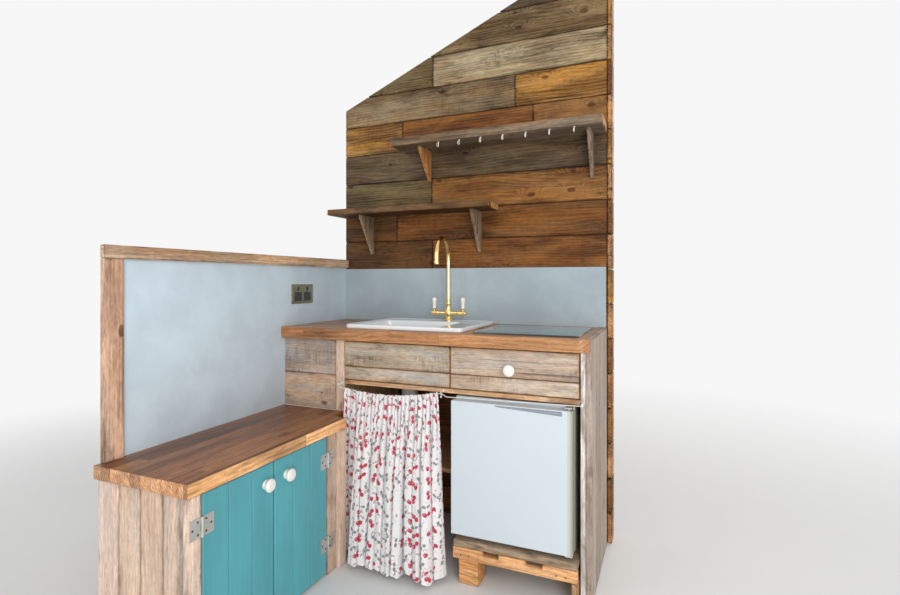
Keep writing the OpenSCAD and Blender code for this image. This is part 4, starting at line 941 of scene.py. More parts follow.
(_, fx1), (_, fy1), (_, fz1) = span("face_frame")
STILE_W, END_W, FRONT_T, RAIL_D = 42, 17.5, 18, 45
LEFT_STILE, RAIL_Z, RAIL_TOP, LOW_H, SEAM = 267, 675, 692.5, 564, 748.7
end_x = fx1 - END_W
face = (fy1 - FRONT_T, fy1)
shape = boards(Shape(), [((LEFT_STILE, LEFT_STILE + STILE_W), face, (0, fz1), "z", SAND, 61),
                         ((end_x, fx1), face, (0, fz1), "z", (0.74, 0.73, 0.74), 62)], wear=0.6, mat=1)
# The rail's tone is its orange timber made lighter still, as painted light against the shade under the drawer
boards(shape, [
    ((LEFT_STILE + STILE_W, end_x), (fy1 - RAIL_D, fy1), (RAIL_Z, RAIL_TOP), "x", (0.88, 0.58, 0.36), 63),
    ((0, LEFT_STILE), face, (LOW_H, 708), "x", BEIGE, 64), ((0, LEFT_STILE), face, (709, fz1), "x", ASH, 65)], wear=0.6)
shape.make("face_boards", [FRONTS, UPRIGHTS], ["face_frame"])

(gx0, gx1), (gy0, _), (gz0, gz1) = span("fixed_front")
boarded("fixed_boards", [FRONTS], "fixed_front", [
    ((gx0, gx1), face, (SEAM + 1, gz1), "x", (0.425, 0.365, 0.29), 71),
    ((gx0, gx1), face, (gz0, SEAM - 1), "x", (0.44, 0.365, 0.29), 72),
    ((gx0 + 29, gx1 - 20), (gy0, gy0 + 8), (gz0 + 10, gz1 - 20), "x", RAW, 73)], wear=0.6)

(dx0, dx1), (dy0, dy1), (dz0, dz1) = span("drawer_front")
boarded("drawer_boards", [FRONTS], "drawer_front", [
    ((dx0, dx1), face, (SEAM + 1, dz1), "x", (0.44, 0.37, 0.315), 74),
    ((dx0, dx1), face, (dz0, SEAM - 1), "x", (0.515, 0.435, 0.365), 75),
    ((dx0 + 30, dx1 - 30), (dy0, dy1 - 6), (SEAM - 2, SEAM + 2), "x", DARK_BROWN, 76)], "drawer", wear=0.6)

x, (_, ey1), z = span("end_panel")
width = (ey1 + 1) / 4
END_TONES = ((0.40, 0.345, 0.305), (0.40, 0.325, 0.27), (0.37, 0.30, 0.25), (0.43, 0.355, 0.30))
boarded("end_boards", [UPRIGHTS], "end_panel",
        [(x, (k * width + 1, (k + 1) * width - 1), z, "z", tone, 81 + k) for k, tone in enumerate(END_TONES)],
        slot="front_wood", wear=0.9, c=2)

KNOB_R = 21.5
KNOB_PROFILE = ((0.45, 0.36), (0.55, 0.45), (0.86, 0.52), (0.98, 0.60), (1, 0.68), (0.96, 0.79), (0.84, 0.89),
                (0.62, 0.955), (0.5, 0.965), (0.44, 0.945), (0.34, 0.96), (0.16, 0.985), (0, 0.99))
KNOB_FOOT = ((0.70, 0), (0.72, 1.6), (0.6, 3.2), (0.48, 5))
for node, direction, body, name in (("drawer_knob", FORWARD, "drawer", "drawer_pull"),
                                    ("knob_left", RIGHT, "door_left", "door_pull_left"),
                                    ("knob_right", RIGHT, "door_right", "door_pull_right")):
    spans = span(node)
    centre = [(a + b) / 2 for a, b in spans]
    ax = direction.index(1)
    centre[ax], length = spans[ax][0], spans[ax][1] - spans[ax][0]
    shape = Shape()
    lathe(shape, [(KNOB_R * r, h) for r, h in KNOB_FOOT] + [(KNOB_R * r, length * h) for r, h in KNOB_PROFILE], centre,
          direction, 44)
    shape.make(name, [PORCELAIN], [node], body, angle=50)

(qx0, qx1), (qy0, qy1), (_, qz1) = span("bay_shelf")
BAY_SHELF_Z, BAY_T, BAY_LEG, BAY_LEG_Y = 378, 18, 28, 250
bay_under, bay_right = BAY_SHELF_Z - BAY_T, qx1 - BAY_T
# The right-hand side board's tone, far lighter than the shelf's, stands in for the light falling on it: painted light
boarded("bay_boards", [PINE], "bay_shelf", [
    ((qx0, bay_right), (qy0, qy1), (bay_under, BAY_SHELF_Z), "x", (0.36, 0.19, 0.08), 91),
    ((bay_right, qx1), (qy0, qy1), (bay_under, qz1), "y", (0.85, 0.5, 0.2), 92),
    ((bay_right - BAY_LEG, bay_right), (BAY_LEG_Y, BAY_LEG_Y + BAY_LEG), (0, bay_under), "z", RAW, 93),
    ((qx0, qx0 + BAY_T), (qy0 + 60, qy1 - 60), (bay_under - BAY_LEG, bay_under), "y", RAW, 94)], wear=0.4)

# Pallet

(ax0, ax1), (_, ay1), z = span("pallet_deck")
DECK_W, NOTCHED_T, NOTCH_W, NOTCH_H, NOTCHES = 116, 22, 63, 17, (267, 111)
step = (ay1 - DECK_W) / 3
boarded("pallet_deck_boards", [PALLET], "pallet_deck",
        [((ax0, ax1), (k * step, k * step + DECK_W), z, "x", tone, 101 + k)
         for k, tone in enumerate((RAW, (0.3, 0.19, 0.11), (0.42, 0.27, 0.14), (0.385, 0.295, 0.21)))], wear=1.4, c=3)

_, (ny0, ny1), (nz0, nz1) = span("pallet_boards")
outline = [(ax0, nz0), (ax1, nz0), (ax1, nz1)]
for start in NOTCHES:
    left, right = ax0 + start, ax0 + start + NOTCH_W
    outline += [(right, nz1), (right - 2, nz1 - NOTCH_H), (left + 2, nz1 - NOTCH_H), (left, nz1)]
outline.append((ax0, nz1))
shape = Shape()
for k, y0 in enumerate((ny0, (ny0 + ny1 - NOTCHED_T) / 2, ny1 - NOTCHED_T)):
    prism(shape, outline, "y", y0, y0 + NOTCHED_T, 1.4, "x", (0.76, 0.385, 0.147), 110 + k)
for x in (ax0 + 30, ax0 + 60, ax1 - 40, ax1 - 70):
    screw(shape, (x, ny1, nz0 + 14), FORWARD, 3, 0.3)
shape.make("pallet_notched", [PALLET, NAIL], ["pallet_boards"])

(lx0, lx1), (ly0, ly1), z = span("pallet_blocks")
SIDE_PLANK, BLOCK_W, BLOCK_D, PLANK_BACK = 21, 77, 90, 47
# The blocks' tone is raw pine made lighter to stand in for sunlight on them: painted light over their own colour
shape = boards(Shape(), [((lx0 + SIDE_PLANK, lx0 + SIDE_PLANK + BLOCK_W), (y0, y0 + BLOCK_D), z, "x",
                          (0.68, 0.33, 0.11), 120 + k)
                         for k, y0 in enumerate((ly0, (ly0 + ly1 - BLOCK_D) / 2, ly1 - BLOCK_D))], wear=1.2, c=3)
boards(shape, [((lx0, lx0 + SIDE_PLANK), (ly0, ly1 - PLANK_BACK), z, "y", (0.47, 0.26, 0.1), 124),
               ((lx1 - SIDE_PLANK, lx1), (ly0, ly1), z, "y", (0.42, 0.25, 0.12), 125)], wear=1.2, c=2.5)
shape.make("pallet_feet", [PALLET], ["pallet_blocks"])

# Low cupboard

(_, jx1), (jy0, jy1), (jz0, low_top) = span("low_end_panel")
LOW_END = ((0, 87, (0.74, 0.58, 0.485)), (89, 176, (0.575, 0.435, 0.335)), (178, 265, (0.56, 0.42, 0.325)),
           (267, jx1, (0.64, 0.49, 0.39)))
boarded("low_end_boards", [UPRIGHTS], "low_end_panel",
        [((a, b), (jy0, jy1), (jz0, low_top), "z", tone, 131 + k) for k, (a, b, tone) in enumerate(LOW_END)],
        slot="front_wood", wear=0.9, c=2.2)

DOOR_FACE, CARCASS, STILE_BACK, DOORS_NEAR, DOORS_FAR = 360, 342, 322, 1212.5, 649.5
POST_FAR, POST_W, LOW_D, RETURN_X, LOW_T, CLEAT_X, CLEAT_H = 547, 45, 375, 303, 18, (298, 316), 34
HINGE_Z, LEDGE_Z, LEDGE_T, LEDGE_W, LEDGE_IN = (122, 429), (122, 389), 16, 60, 25
full = (0, low_top)
boarded("low_stiles", [UPRIGHTS], "low_frame", [
    ((STILE_BACK, CARCASS - 0.5), (DOORS_NEAR, jy1), full, "z", ASH, 141),
    ((CARCASS - 0.5, DOOR_FACE), (DOORS_NEAR, jy1), full, "z", (0.71, 0.56, 0.465), 142),
    ((CARCASS, DOOR_FACE), (POST_FAR + POST_W, DOORS_FAR), full, "z", BEIGE, 143),
    ((CARCASS - 2, LOW_D), (POST_FAR, POST_FAR + POST_W), full, "z", SAND, 144),
    ((0, CARCASS - 2), (POST_FAR, POST_FAR + LOW_T), full, "z", RAW, 145),
    ((RETURN_X - LOW_T, RETURN_X), (fy1, POST_FAR), full, "z", BEIGE, 146),
    (CLEAT_X, (POST_FAR + LOW_T, jy0), (low_top - CLEAT_H, low_top), "y", RAW, 147)], slot="front_wood", wear=0.6)

for name in ("door_left", "door_right"):
    (_, x1), (y0, y1), z = span(name)
    seed = sum(map(ord, name))
    width = (y1 - y0) / 3
    shape = boards(Shape(), [((CARCASS, x1), (y0 + k * width, y0 + (k + 1) * width), z, "z", WHITE, seed + k)
                             for k in range(3)], wear=0.12, c=3.8, jitter=0.0)
    for z in LEDGE_Z:
        board(shape, (CARCASS - LEDGE_T, CARCASS), (y0 + LEDGE_IN, y1 - LEDGE_IN), (z - LEDGE_W / 2, z + LEDGE_W / 2),
              "y", WHITE, seed + 7, wear=0.3)
        for k in range(3):
            screw(shape, (CARCASS - LEDGE_T, y0 + (k + 0.5) * width, z), (-1, 0, 0), 3.2, 0.4)
    shape.make("panel_" + name, [TEAL, STEEL], [name], name)

# Three countersunk screws on each leaf of the hinges
for name, body, edge_y, side in (("screws_near_stile", "kitchenette", DOORS_NEAR, 1),
                                 ("screws_far_stile", "kitchenette", DOORS_FAR, -1),
                                 ("screws_door_left", "door_left", DOORS_NEAR, -1),
                                 ("screws_door_right", "door_right", DOORS_FAR, 1)):
    shape = Shape()
    for z in HINGE_Z:
        for dy, dz in ((14, 17), (14, -17), (31, 0)):
            screw(shape, (DOOR_FACE + 2, edge_y + side * dy, z + dz), RIGHT, 3.6, 0.35, 0)
    shape.make(name, [NAIL], (), body, "hook_metal")

# Tap

TAP_X, TAP_Y, RIM_Z, BAR_Z, COLLAR_Z, BAR_HALF = 612, 88, 918, 950, 996, 55
BAR_END = ((10.8, 1.5), (10.8, 6), (9.4, 8), (8.6, 16))
shape = Shape()
lathe(shape, [(13, -78), (13, 0), (24, 0), (24, 2), (22.5, 4), (18, 5.5), (13.6, 8), (12.2, 12), (12.4, 15), (15, 19),
              (16.2, 25), (16.2, 39), (15, 44), (12.6, 47.5), (11.6, 52), (11.8, 62), (12.6, 70), (13.4, 73),
              (13.8, 75), (13.4, 77.5), (12, 78), (5, 78), (5, 106)], (TAP_X, TAP_Y, RIM_Z), UP, 44)
lathe(shape, [(9.2, -BAR_HALF), *((r, h - BAR_HALF) for r, h in BAR_END), (9.2, -16), (9.2, 16),
              *((r, BAR_HALF - h) for r, h in BAR_END[::-1]), (9.2, BAR_HALF)], (TAP_X, TAP_Y, BAR_Z), RIGHT, 36)
shape.make("tap_column", [BRASS], ["tap_body"], angle=30)

SPOUT_H, BEND, DROP, TURN = 191, 95, 22, math.radians(8)
reach = np.array([math.sin(TURN), math.cos(TURN), 0])
foot = np.array([TAP_X, TAP_Y, COLLAR_Z + 0.3])
path = [foot + np.array([0, 0, h]) for h in np.linspace(0, SPOUT_H, 12)]
for a in np.linspace(0, math.pi, 34)[1:]:
    path.append(foot + reach * BEND * (1 - math.cos(a)) + np.array([0, 0, SPOUT_H + BEND * math.sin(a)]))
for h in np.linspace(0, DROP, 6)[1:]:
    path.append(foot + reach * 2 * BEND + np.array([0, 0, SPOUT_H - h]))
tip = path[-1]
shape = Shape()
sweep(shape, path, 9.8, 28)
lathe(shape, [(8, 0), (12.8, 0.2), (12.8, 4), (11.2, 5.5), (11.2, 8), (12.2, 9.5), (12.2, 11), (9.8, 12.5)], foot, UP,
      36)
lathe(shape, [(7.4, 1.5), (9.2, 0), (11, 0.4), (11.4, 2), (11.4, 12), (10.6, 14.5), (9.7, 16)], tip, UP, 36)
# A dark disc inside the spout's mouth: painted shade in its bore
lathe(shape, [(0.1, 1.4), (7.6, 1.4), (7.6, 3), (0.1, 3)], tip, UP, 24, 1)
shape.make("tap_swan_neck", [BRASS, BLACK_AND_SHADE], ["tap_spout"], "tap_spout", angle=30)

START, LEVER_IN, LEVER_TOP = BAR_HALF + 0.3, 15, 71
for side, word in ((-1, "left"), (1, "right")):
    neck = (TAP_X + side * (START + LEVER_IN), TAP_Y, BAR_Z)
    shape = Shape()
    lathe(shape, [(3.9, -12), (3.9, 0), (9.4, 0), (10.8, 1.5), (10.8, 4), (9.4, 6), (10.2, 9), (11, 15), (10.2, 21),
                  (8.8, 25), (9.4, 27), (7.8, 29.4), (3, 30)], (TAP_X + side * START, TAP_Y, BAR_Z), (side, 0, 0), 36)
    lathe(shape, [(5, 2), (5, 14), (7.4, 16), (7.8, 19), (6.8, 20.6), (6.2, 21)], neck, UP, 30)
    lathe(shape, [(3.2, LEVER_TOP - 1.5), (3.0, LEVER_TOP), (1.2, LEVER_TOP + 0.4)], neck, UP, 20)
    shape.make("lever_hub_" + word, [BRASS], ["lever_" + word], "tap_lever_" + word, angle=30)
    shape = Shape()
    lathe(shape, [(6.2, 21), (8.2, 21.8), (8.6, 23.6), (7.6, 26), (7.4, 32), (8.2, 42), (9.9, 54), (10.8, 60),
                  (10.7, 64.5), (9, 68.2), (6, 70.2), (3, 70.8)], neck, UP, 36)
    shape.make("lever_grip_" + word, [PORCELAIN], ["porcelain_" + word], "tap_lever_" + word, angle=50)

# Fridge

shell_right = span("fridge_cabinet")[0][1]
shape = soften("fridge_cabinet", 2.0)
# The cabinet's right side takes the darker tone: painted shade
shape.remat(lambda x: 1 if x > shell_right - 3 else 0)
shape.make("fridge_shell", [ENAMEL, SIDE_SHADE], ["fridge_cabinet"], angle=40)

(rx0, rx1), (ry0, ry1), (rz0, rz1) = span("fridge_door")
EDGE_BAND, EDGE_SHADE, DOOR_EASE = 17.0, 7.0, 3.0
GRIP_X, GRIP_Y, GRIP_Z, GRIP_L, GRIP_SLOPE = 965, ry1 + 1, rz1 - 6, 236, math.radians(1.3)
GRIP_NARROW, GRIP_WIDE, LINING_T, LINING_PROUD = 3.0, 8.0, 0.8, 1.5


def grip_at(along):
    """Centre and radius of the grip's groove at a distance from its left end."""
    return (GRIP_X + along * math.cos(GRIP_SLOPE), GRIP_Z - along * math.sin(GRIP_SLOPE),
            GRIP_NARROW + (GRIP_WIDE - GRIP_NARROW) * along / GRIP_L)


def door_ring(x, along, deep):
    """A section of the fridge door, with the grip's groove in its face or with a flat face."""
    _, z, r = grip_at(along)
    lip = math.asin((GRIP_Y - ry1) / r)
    groove = [(x, GRIP_Y + r * math.sin(a) if deep else ry1, z + r * math.cos(a))
              for a in np.linspace(lip - math.pi, -lip, 17)]
    return [(x, ry0, rz0), (x, ry1, rz0), *groove, (x, ry1, rz1), (x, ry0, rz1)]


def door_block():
    """The fridge door with eased outer edges and a groove for the fingers near its top."""
    grip_end = grip_at(GRIP_L)[0]
    sections = [(rx0, 0, False), (GRIP_X, 0, False), (GRIP_X, 0, True), (grip_end, GRIP_L, True),
                *((x, GRIP_L, False) for x in (grip_end, rx1 - EDGE_BAND, rx1 - EDGE_SHADE, rx1))]
    bm = bmesh.new()
    rings = [[bm.verts.new(p) for p in door_ring(*section)] for section in sections]
    n = len(rings[0])
    for a, b in zip(rings, rings[1:]):
        for j in range(n):
            bm.faces.new((a[j], a[(j + 1) % n], b[(j + 1) % n], b[j]))
    bm.faces.new(rings[0])
    bm.faces.new(rings[-1])
    bmesh.ops.remove_doubles(bm, verts=bm.verts, dist=0.001)
    bmesh.ops.recalc_face_normals(bm, faces=bm.faces)

    def borders(vert):
        x, y, z = vert.co
        return {i for i, at in enumerate((x - rx0, x - rx1, y - ry0, y - ry1, z - rz0, z - rz1)) if abs(at) < 0.01}

    outer = [e for e in bm.edges if len(borders(e.verts[0]) & borders(e.verts[1])) >= 2]
    bmesh.ops.bevel(bm, geom=outer, offset=DOOR_EASE, segments=4, profile=0.6, affect="EDGES", clamp_overlap=False)
    shape = Shape()
    add_bmesh(shape, bm)
    return shape


def door_rings(steps, r, arc):
    """Rounded rings inside the door's outline, one for each (inset, y)."""
    return [[(a, y, b) for a, b, _ in rounded(rx0 + i, rx1 - i, rz0 + i, rz1 - i, r, arc=arc)] for i, y in steps]


shape = door_block()
# Past the cream band, the door's right edge and side take the darker tone: painted shade
shape.remat(lambda x: 0 if x <= rx1 - EDGE_BAND else 1 if x < rx1 - EDGE_SHADE else 2)
shape.make("fridge_door_panel", [ENAMEL, CREAM, SIDE_SHADE], ["fridge_door"], "fridge_door", angle=40)
GASKET_IN, GASKET_OUT, GASKET_T = 8, 22, 8
gasket_y = ry0 - GASKET_T
loft(Shape(), door_rings(((GASKET_IN, ry0), (GASKET_IN + 2, gasket_y + 1), (GASKET_IN + 4, gasket_y),
                          (GASKET_OUT - 4, gasket_y), (GASKET_OUT - 2, gasket_y + 1), (GASKET_OUT, ry0)), 10, 4),
     loop=True).make("fridge_door_seal", [GASKET], (), "fridge_door", "black_rubber", 40)
loft(Shape(), door_rings(((GASKET_OUT + 4, ry0 + 0.5), (GASKET_OUT + 6, ry0 - 5), (GASKET_OUT + 12, ry0 - 6.5),
                          (70, ry0 - 5), (78, ry0 - 2)), 12, 5)).make(
    "fridge_door_liner", [LINER], (), "fridge_door", "fridge_enamel", 40)

# A grey lining laid in the grip's groove darkens the recess: painted shade over the grip's own grey
rings = []
for along in (0.6, GRIP_L - 0.6):
    x, z, r = grip_at(along)
    r -= 0.2
    proud = math.asin(LINING_PROUD / r)
    arcs = np.linspace(-math.pi + proud, -proud, 18)
    rings.append([(x, GRIP_Y + s * math.sin(a), z + s * math.cos(a))
                  for s, turns in ((r, arcs), (r - LINING_T, arcs[::-1])) for a in turns])
loft(Shape(), rings).make("fridge_grip_shade_lining", [GRIP_GREY_AND_SHADE], (), "fridge_door", "black_rubber", 40)

# Curtain

WIRE_Y, WIRE_Z, HEADING, HEM = 485, 677, 8, 19
WIRE_X0, TIE_X, TIE_DROP, SAG, WIRE_R, WIRE_RING = 297, 750, 12, 26, 1.5, 4
COLS, ROWS = 480, 76
CLOTH_L, CLOTH_R, CLOTH_MIN_X, CLOTH_SPREAD, CLOTH_BELLY = 330, 739, 322.4, 38, 76
GATHERS, GATHER_DEPTH, FOLDS, FOLD_DEPTH, SLOW_DEPTH = 25, 10, 11.5, 21.5, 4
POST_CLEAR_X, POST_CLEAR_Y, DOOR_CLEAR_Y = 383, 521, 606  # keep the cloth off the low cupboard's post and open door


def wire_height(x):
    """Height of the sagging wire between its left eye and its tie."""
    run = TIE_X - WIRE_X0
    chord = math.hypot(run, TIE_DROP)
    radius = chord ** 2 / (8 * SAG) + SAG / 2
    up = radius - SAG
    centre_x = (WIRE_X0 + TIE_X) / 2 - up * TIE_DROP / chord
    centre_z = WIRE_Z - TIE_DROP / 2 + up * run / chord
    return centre_z - np.sqrt(radius ** 2 - (x - centre_x) ** 2)


def wire_loop(shape, x, z):
    """An eye round the wire, with the wire's collar in it."""
    turns = np.linspace(0, 2 * math.pi, 24, endpoint=False)
    loft(shape, [[(x + WIRE_R * math.sin(b), WIRE_Y + (WIRE_RING + WIRE_R * math.cos(b)) * math.sin(a),
                   z + (WIRE_RING + WIRE_R * math.cos(b)) * math.cos(a))
                  for b in np.linspace(0, 2 * math.pi, 10, endpoint=False)] for a in turns], loop=True)
    lathe(shape, [(WIRE_R, -3.4), (2.4, -3), (2.6, 0), (2.4, 3), (WIRE_R, 3.4)], (x, WIRE_Y, z), RIGHT, 16)


def sagging_wire():
    """The curtain's wire: two eyes in the fronts, the sag under the curtain and the tie beside it."""
    made = Shape()
    right = span("curtain_wire")[0][1] - 6
    tie_z, rail_mid, out = WIRE_Z - TIE_DROP, (RAIL_Z + RAIL_TOP) / 2, WIRE_Y - fy1
    for x, z, reach in ((WIRE_X0, WIRE_Z, out - WIRE_RING), (right, WIRE_Z, out - WIRE_RING),
                        (TIE_X, rail_mid, out + WIRE_R)):
        lathe(made, [(4.5, 0), (4.5, 1.2), (3.6, 2), (WIRE_R, 2.6), (WIRE_R, reach)], (x, fy1, z), FORWARD, 16)
    for x, z in ((WIRE_X0, WIRE_Z), (right, WIRE_Z), (TIE_X, tie_z)):
        wire_loop(made, x, z)
    sweep(made, [(TIE_X, WIRE_Y, z) for z in np.linspace(tie_z + WIRE_RING, rail_mid, 5)], WIRE_R, 10)
    run = [(x, WIRE_Y, wire_height(x)) for x in np.linspace(WIRE_X0, TIE_X, 48)]
    run += [(x, WIRE_Y, tie_z + TIE_DROP * (x - TIE_X) / (right - TIE_X)) for x in np.linspace(TIE_X, right, 24)[1:]]
    sweep(made, [(WIRE_X0 - 6, WIRE_Y, WIRE_Z), *run, (right + 6, WIRE_Y, WIRE_Z)], WIRE_R, 10)
    for x in (WIRE_X0 - 6, right + 2):
        lathe(made, [(WIRE_R, 0), (2.8, 0.4), (2.8, 3.6), (WIRE_R, 4)], (x, WIRE_Y, WIRE_Z), RIGHT, 16)
    made.make("curtain_wire_sagging", [WIRE], ["curtain_wire"], angle=50)


sagging_wire()


def wave(turns, s, shift=0.0):
    return np.sin(2 * math.pi * turns * s + shift)


def step_up(v, low, run):
    """0 below low and 1 a run above it, with a smooth step between them."""
    v = np.clip((v - low) / run, 0, 1)
    return v * v * (3 - 2 * v)


def folded(angle, power):
    """A wave with narrow hollows and wide crests."""
    return 1 - 2 * ((1 - np.sin(angle)) / 2) ** power


def curtain():
    """Gathered cotton on its wire: narrow gathers at the heading that open into fewer, deeper folds towards the hem."""
    rng = np.random.default_rng(7)
    s = np.linspace(0, 1, COLS)[None, :]
    v = np.linspace(0, 1, ROWS)[:, None] ** 1.35
    warp_f = s + 0.009 * wave(1, 3.1 * s + 0.2) + 0.0045 * wave(1, 9.7 * s + 0.6)
    warp_c = s + 0.014 * wave(1, 2.3 * s + 0.1) + 0.007 * wave(1, 5.9 * s + 0.45)
    wire_z = wire_height(CLOTH_L + 410 * s)
    z = wire_z + HEADING + (HEM - wire_z - HEADING) * v
    down = np.clip((wire_z - z) / (wire_z - HEM), 0, 1)
    turn = 2 * math.pi * GATHERS * warp_f + 0.5 * wave(5.3, s, 5 * down)
    phase = 2 * math.pi * FOLDS * warp_c + 0.6 * np.sin(2.6 * down + 9 * s)
    fine, coarse = folded(turn, 1.6), folded(phase, 2.0)
    opened = step_up(down, 0.03, 0.42)
    depth = 0.75 + 0.35 * wave(3.7, s, 0.4) * down
    varied = 0.75 + 0.35 * wave(6.1, s, 1.7)
    swing = fine * (GATHER_DEPTH * varied - 8.0 * opened * varied) + coarse * (1.5 + FOLD_DEPTH * opened) * depth
    swing = swing + wave(4.3, s, 1.0 + 1.4 * down) * SLOW_DEPTH * opened * down
    side = -np.cos(phase) * 6.0 * opened - np.cos(turn) * 2.2 * (1 - opened)
    left = CLOTH_L - 5 * np.sin(math.pi * np.clip(down * 1.3, 0, 1))
    right = CLOTH_R + 4 * np.clip(down / 0.04, 0, 1) + CLOTH_SPREAD * down ** 1.15
    x = left + (right - left) * s + side * np.clip(np.minimum(s, 1 - s) / 0.02, 0.25, 1)
    clear = step_up(x, 381, 24)
    wrap = np.clip((s - 0.84) / 0.16, 0, 1)
    belly = down ** 1.02 * (16 + CLOTH_BELLY * clear) * (1 - 0.72 * wrap * wrap) + np.sin(math.pi * down) * 3
    y = WIRE_Y + belly + swing * np.where(down > 0.05, 0.5 + 0.5 * clear, 1)
    y = WIRE_Y + (y - WIRE_Y) * (1 - 0.45 * np.exp(-((z - wire_z) / 6.0) ** 2))
    y = np.maximum(y, WIRE_Y - 11 + 8 * down)
    soft_limit = np.where(x < POST_CLEAR_X, POST_CLEAR_Y, DOOR_CLEAR_Y) - 5
    y = np.where(y > soft_limit, soft_limit + 5 * np.tanh((y - soft_limit) / 8), y)
    frill = np.clip((z - wire_z) / HEADING, 0, 1)
    ragged = 4 * np.sin(phase + 0.8) + 7 * wave(2.6, s, 2.2) + 3 * wave(7.3, s)
    z = z + frill * (1.6 * np.sin(turn + 0.7) + 0.8 * wave(41, s) - 0.5) + down ** 6 * (ragged + 4)
    x = np.maximum(x + rng.uniform(-0.15, 0.15, x.shape), CLOTH_MIN_X)
    # hollow weights the painted shade that the cloth's material puts in the fold hollows
    hollow = np.clip(0.25 - 0.75 * (fine * varied * (1 - opened) + coarse * opened), 0, 1)
    return np.stack([x, y, np.broadcast_to(z, x.shape)], -1), np.broadcast_to(hollow, x.shape)


def cloth_piece():
    """The curtain as a sheet, with its print laid out flat by the lengths along the drawn cloth."""
    grid, hollow = curtain()
    across = np.linalg.norm(np.diff(grid, axis=1), axis=2)
    along = np.linalg.norm(np.diff(grid, axis=0), axis=2)
    flat_w = across.sum(1).mean() * MM
    u = np.concatenate([np.zeros((ROWS, 1)), across.cumsum(1)], 1)
    u = u / u[:, -1:] * flat_w
    v = np.concatenate([np.zeros((1, COLS)), along.cumsum(0)], 0) * MM
    grain = np.stack([u, -v, np.zeros_like(u)], -1)
    faces = [(i * COLS + j, i * COLS + j + 1, (i + 1) * COLS + j + 1, (i + 1) * COLS + j)
             for i in range(ROWS - 1) for j in range(COLS - 1)]
    made = Shape()
    # The hollows' weight goes in as rim, for the painted fold shade
    made.add(grid.reshape(-1, 3), faces, grain.reshape(-1, 3), rim=hollow.ravel())
    piece = made.make("curtain_cloth", [CLOTH], ["curtain"], angle=180, closed=False)


cloth_piece()

# CAD pieces that keep their shape


def object_wood(name, along):
    """Framing timber on CAD pieces, with its grain along one axis of the frame."""
    n = Nodes(name)
    where = n.object_coords()
    slow, mid, fine = ([low if i == along else high for i in range(3)]
                       for low, high in ((1.3, 13), (2.5, 70), (8, 380)))
    bent = n.vector("MULTIPLY", n.noise(where, 2.2, output="Color"), (0.03, 0.03, 0.03))
    warp = n.vector("ADD", where, bent)
    bands = n.stretched(warp, slow, 4, 0.6, 0.2)
    lines = n.stretched(warp, mid, 4, 0.6, 0.2)
    threads = n.stretched(where, fine)
    base = n.mix(n.ramp(lines, 0.32, 0.68), (0.38, 0.235, 0.115), (0.60, 0.42, 0.235))
    base = n.mix(n.ramp(bands, 0.42, 0.64, 0, 0.45), base, (0.42, 0.25, 0.11))
    base = n.mix(n.ramp(threads, 0.45, 0.75, 0, 0.35), base, (0.3, 0.18, 0.085))
    return n.set(Base_Color=base, Roughness=0.62, Normal=n.bump(threads, 0.35, 0.001))


KEPT = {
    object_wood("framing_upright", 2): ("partition_frame", "run_sides"),
    object_wood("framing_level", 1): ("drawer_runners", "low_inside"),
    object_wood("framing_across", 0): ("drawer_box",),
    STEEL: ("sink_waste", "fridge_hinges", "hinges_fixed", "hinges_left", "hinges_right"),
    WHITE_METAL: ("cup_hooks",), PLASTIC: ("sink_trap",), HOB_METAL: ("hob_tray",), SHELF_GLASS: ("fridge_shelves",),
    RUBBER_AND_HOLE_SHADE: ("fridge_feet",),
}
for mat, nodes in KEPT.items():
    for node in nodes:
        for slot in frame["nodes"][node].material_slots:
            slot.material = mat

# Stage, light, camera

FLOOR_SIZE = 14.0
PALE = (0.93, 0.93, 0.93)


def seen_directly(n):
    """1 for the rays that show the background itself: from the camera, off gloss or through glass."""
    rays = n.node("LightPath").outputs
    return n.math("MAXIMUM", rays["Is Camera Ray"],
                  n.math("MAXIMUM", rays["Is Glossy Ray"], rays["Is Transmission Ray"]))


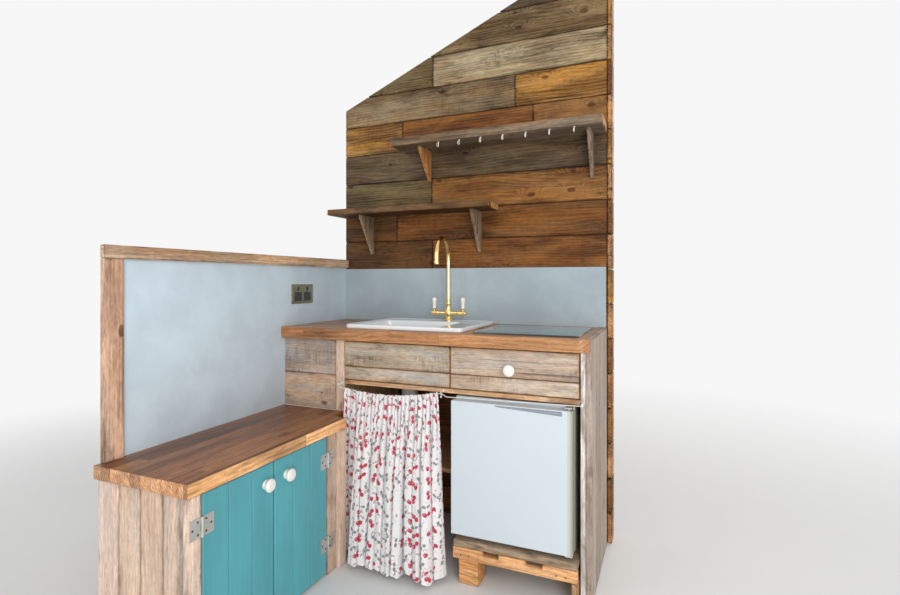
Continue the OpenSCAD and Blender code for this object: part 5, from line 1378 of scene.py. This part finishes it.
def floor():
    """A pale floor that keeps the object's shadow and fades into the white behind it."""
    mesh = bpy.data.meshes.new("floor")
    mesh.from_pydata([(x, y, 0) for x, y in rect(-FLOOR_SIZE, FLOOR_SIZE, -FLOOR_SIZE, FLOOR_SIZE)], [], [(0, 1, 2, 3)])
    n = Nodes("floor_pale")
    fine = n.noise(n.object_coords(), 6.0, 3.0)
    n.set(Base_Color=n.mix(fine, (0.79, 0.79, 0.785), (0.81, 0.81, 0.805)), Roughness=0.8, Specular_IOR_Level=0.15)
    away = n.ramp(n.vector("LENGTH", n.object_coords()), 1.6, 4.5)
    mesh.materials.append(n.blend(n.times(away, seen_directly(n)), n.bsdf, n.node("Emission", {"Color": PALE})))
    piece = bpy.data.objects.new("floor", mesh)
    bpy.context.scene.collection.objects.link(piece)
    piece.location.z = -0.0005
    piece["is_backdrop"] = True


def lamp(name, location, target, size, power, colour=WHITE):
    data = bpy.data.lights.new(name, "AREA")
    data.size, data.energy, data.color = size, power, colour
    made = bpy.data.objects.new(name, data)
    made.location = location
    made.rotation_euler = (Vector(target) - Vector(location)).to_track_quat("-Z", "Y").to_euler()
    bpy.context.scene.collection.objects.link(made)


def world():
    """Soft light from all sides, with an even pale background."""
    n = Nodes("pale", "worlds", "Background", "OutputWorld")
    n.set(Color=WHITE, Strength=0.52)
    bpy.context.scene.world = n.blend(seen_directly(n), n.bsdf, n.node("Background", {"Color": PALE, "Strength": 1.0}))


def camera():
    data = bpy.data.cameras.new("camera")
    data.sensor_width, data.lens, data.shift_y, data.clip_end = 36, 20.646, -0.0188, 60
    made = bpy.data.objects.new("camera", data)
    made.location = (0.8678, -1.6499, 1.0969)
    made.rotation_euler = (math.radians(90), 0, math.radians(22.797))
    bpy.context.scene.collection.objects.link(made)
    bpy.context.scene.camera = made


floor()
lamp("key", (2.6, -3.0, 2.4), (0, 0, 0.8), 2.4, 60, (1.0, 0.985, 0.96))
lamp("fill", (-2.4, -2.9, 2.0), (0, 0, 0.8), 2.6, 26, (0.96, 0.98, 1.0))
lamp("low", (2.1, -3.3, 0.75), (-0.1, 0, 0.35), 1.7, 52, (1.0, 0.99, 0.97))
lamp("back", (1.2, 3.4, 3.0), (0, 0, 1.2), 2.4, 55)
world()
camera()
bpy.context.scene.view_settings.view_transform = "Standard"

low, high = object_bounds()
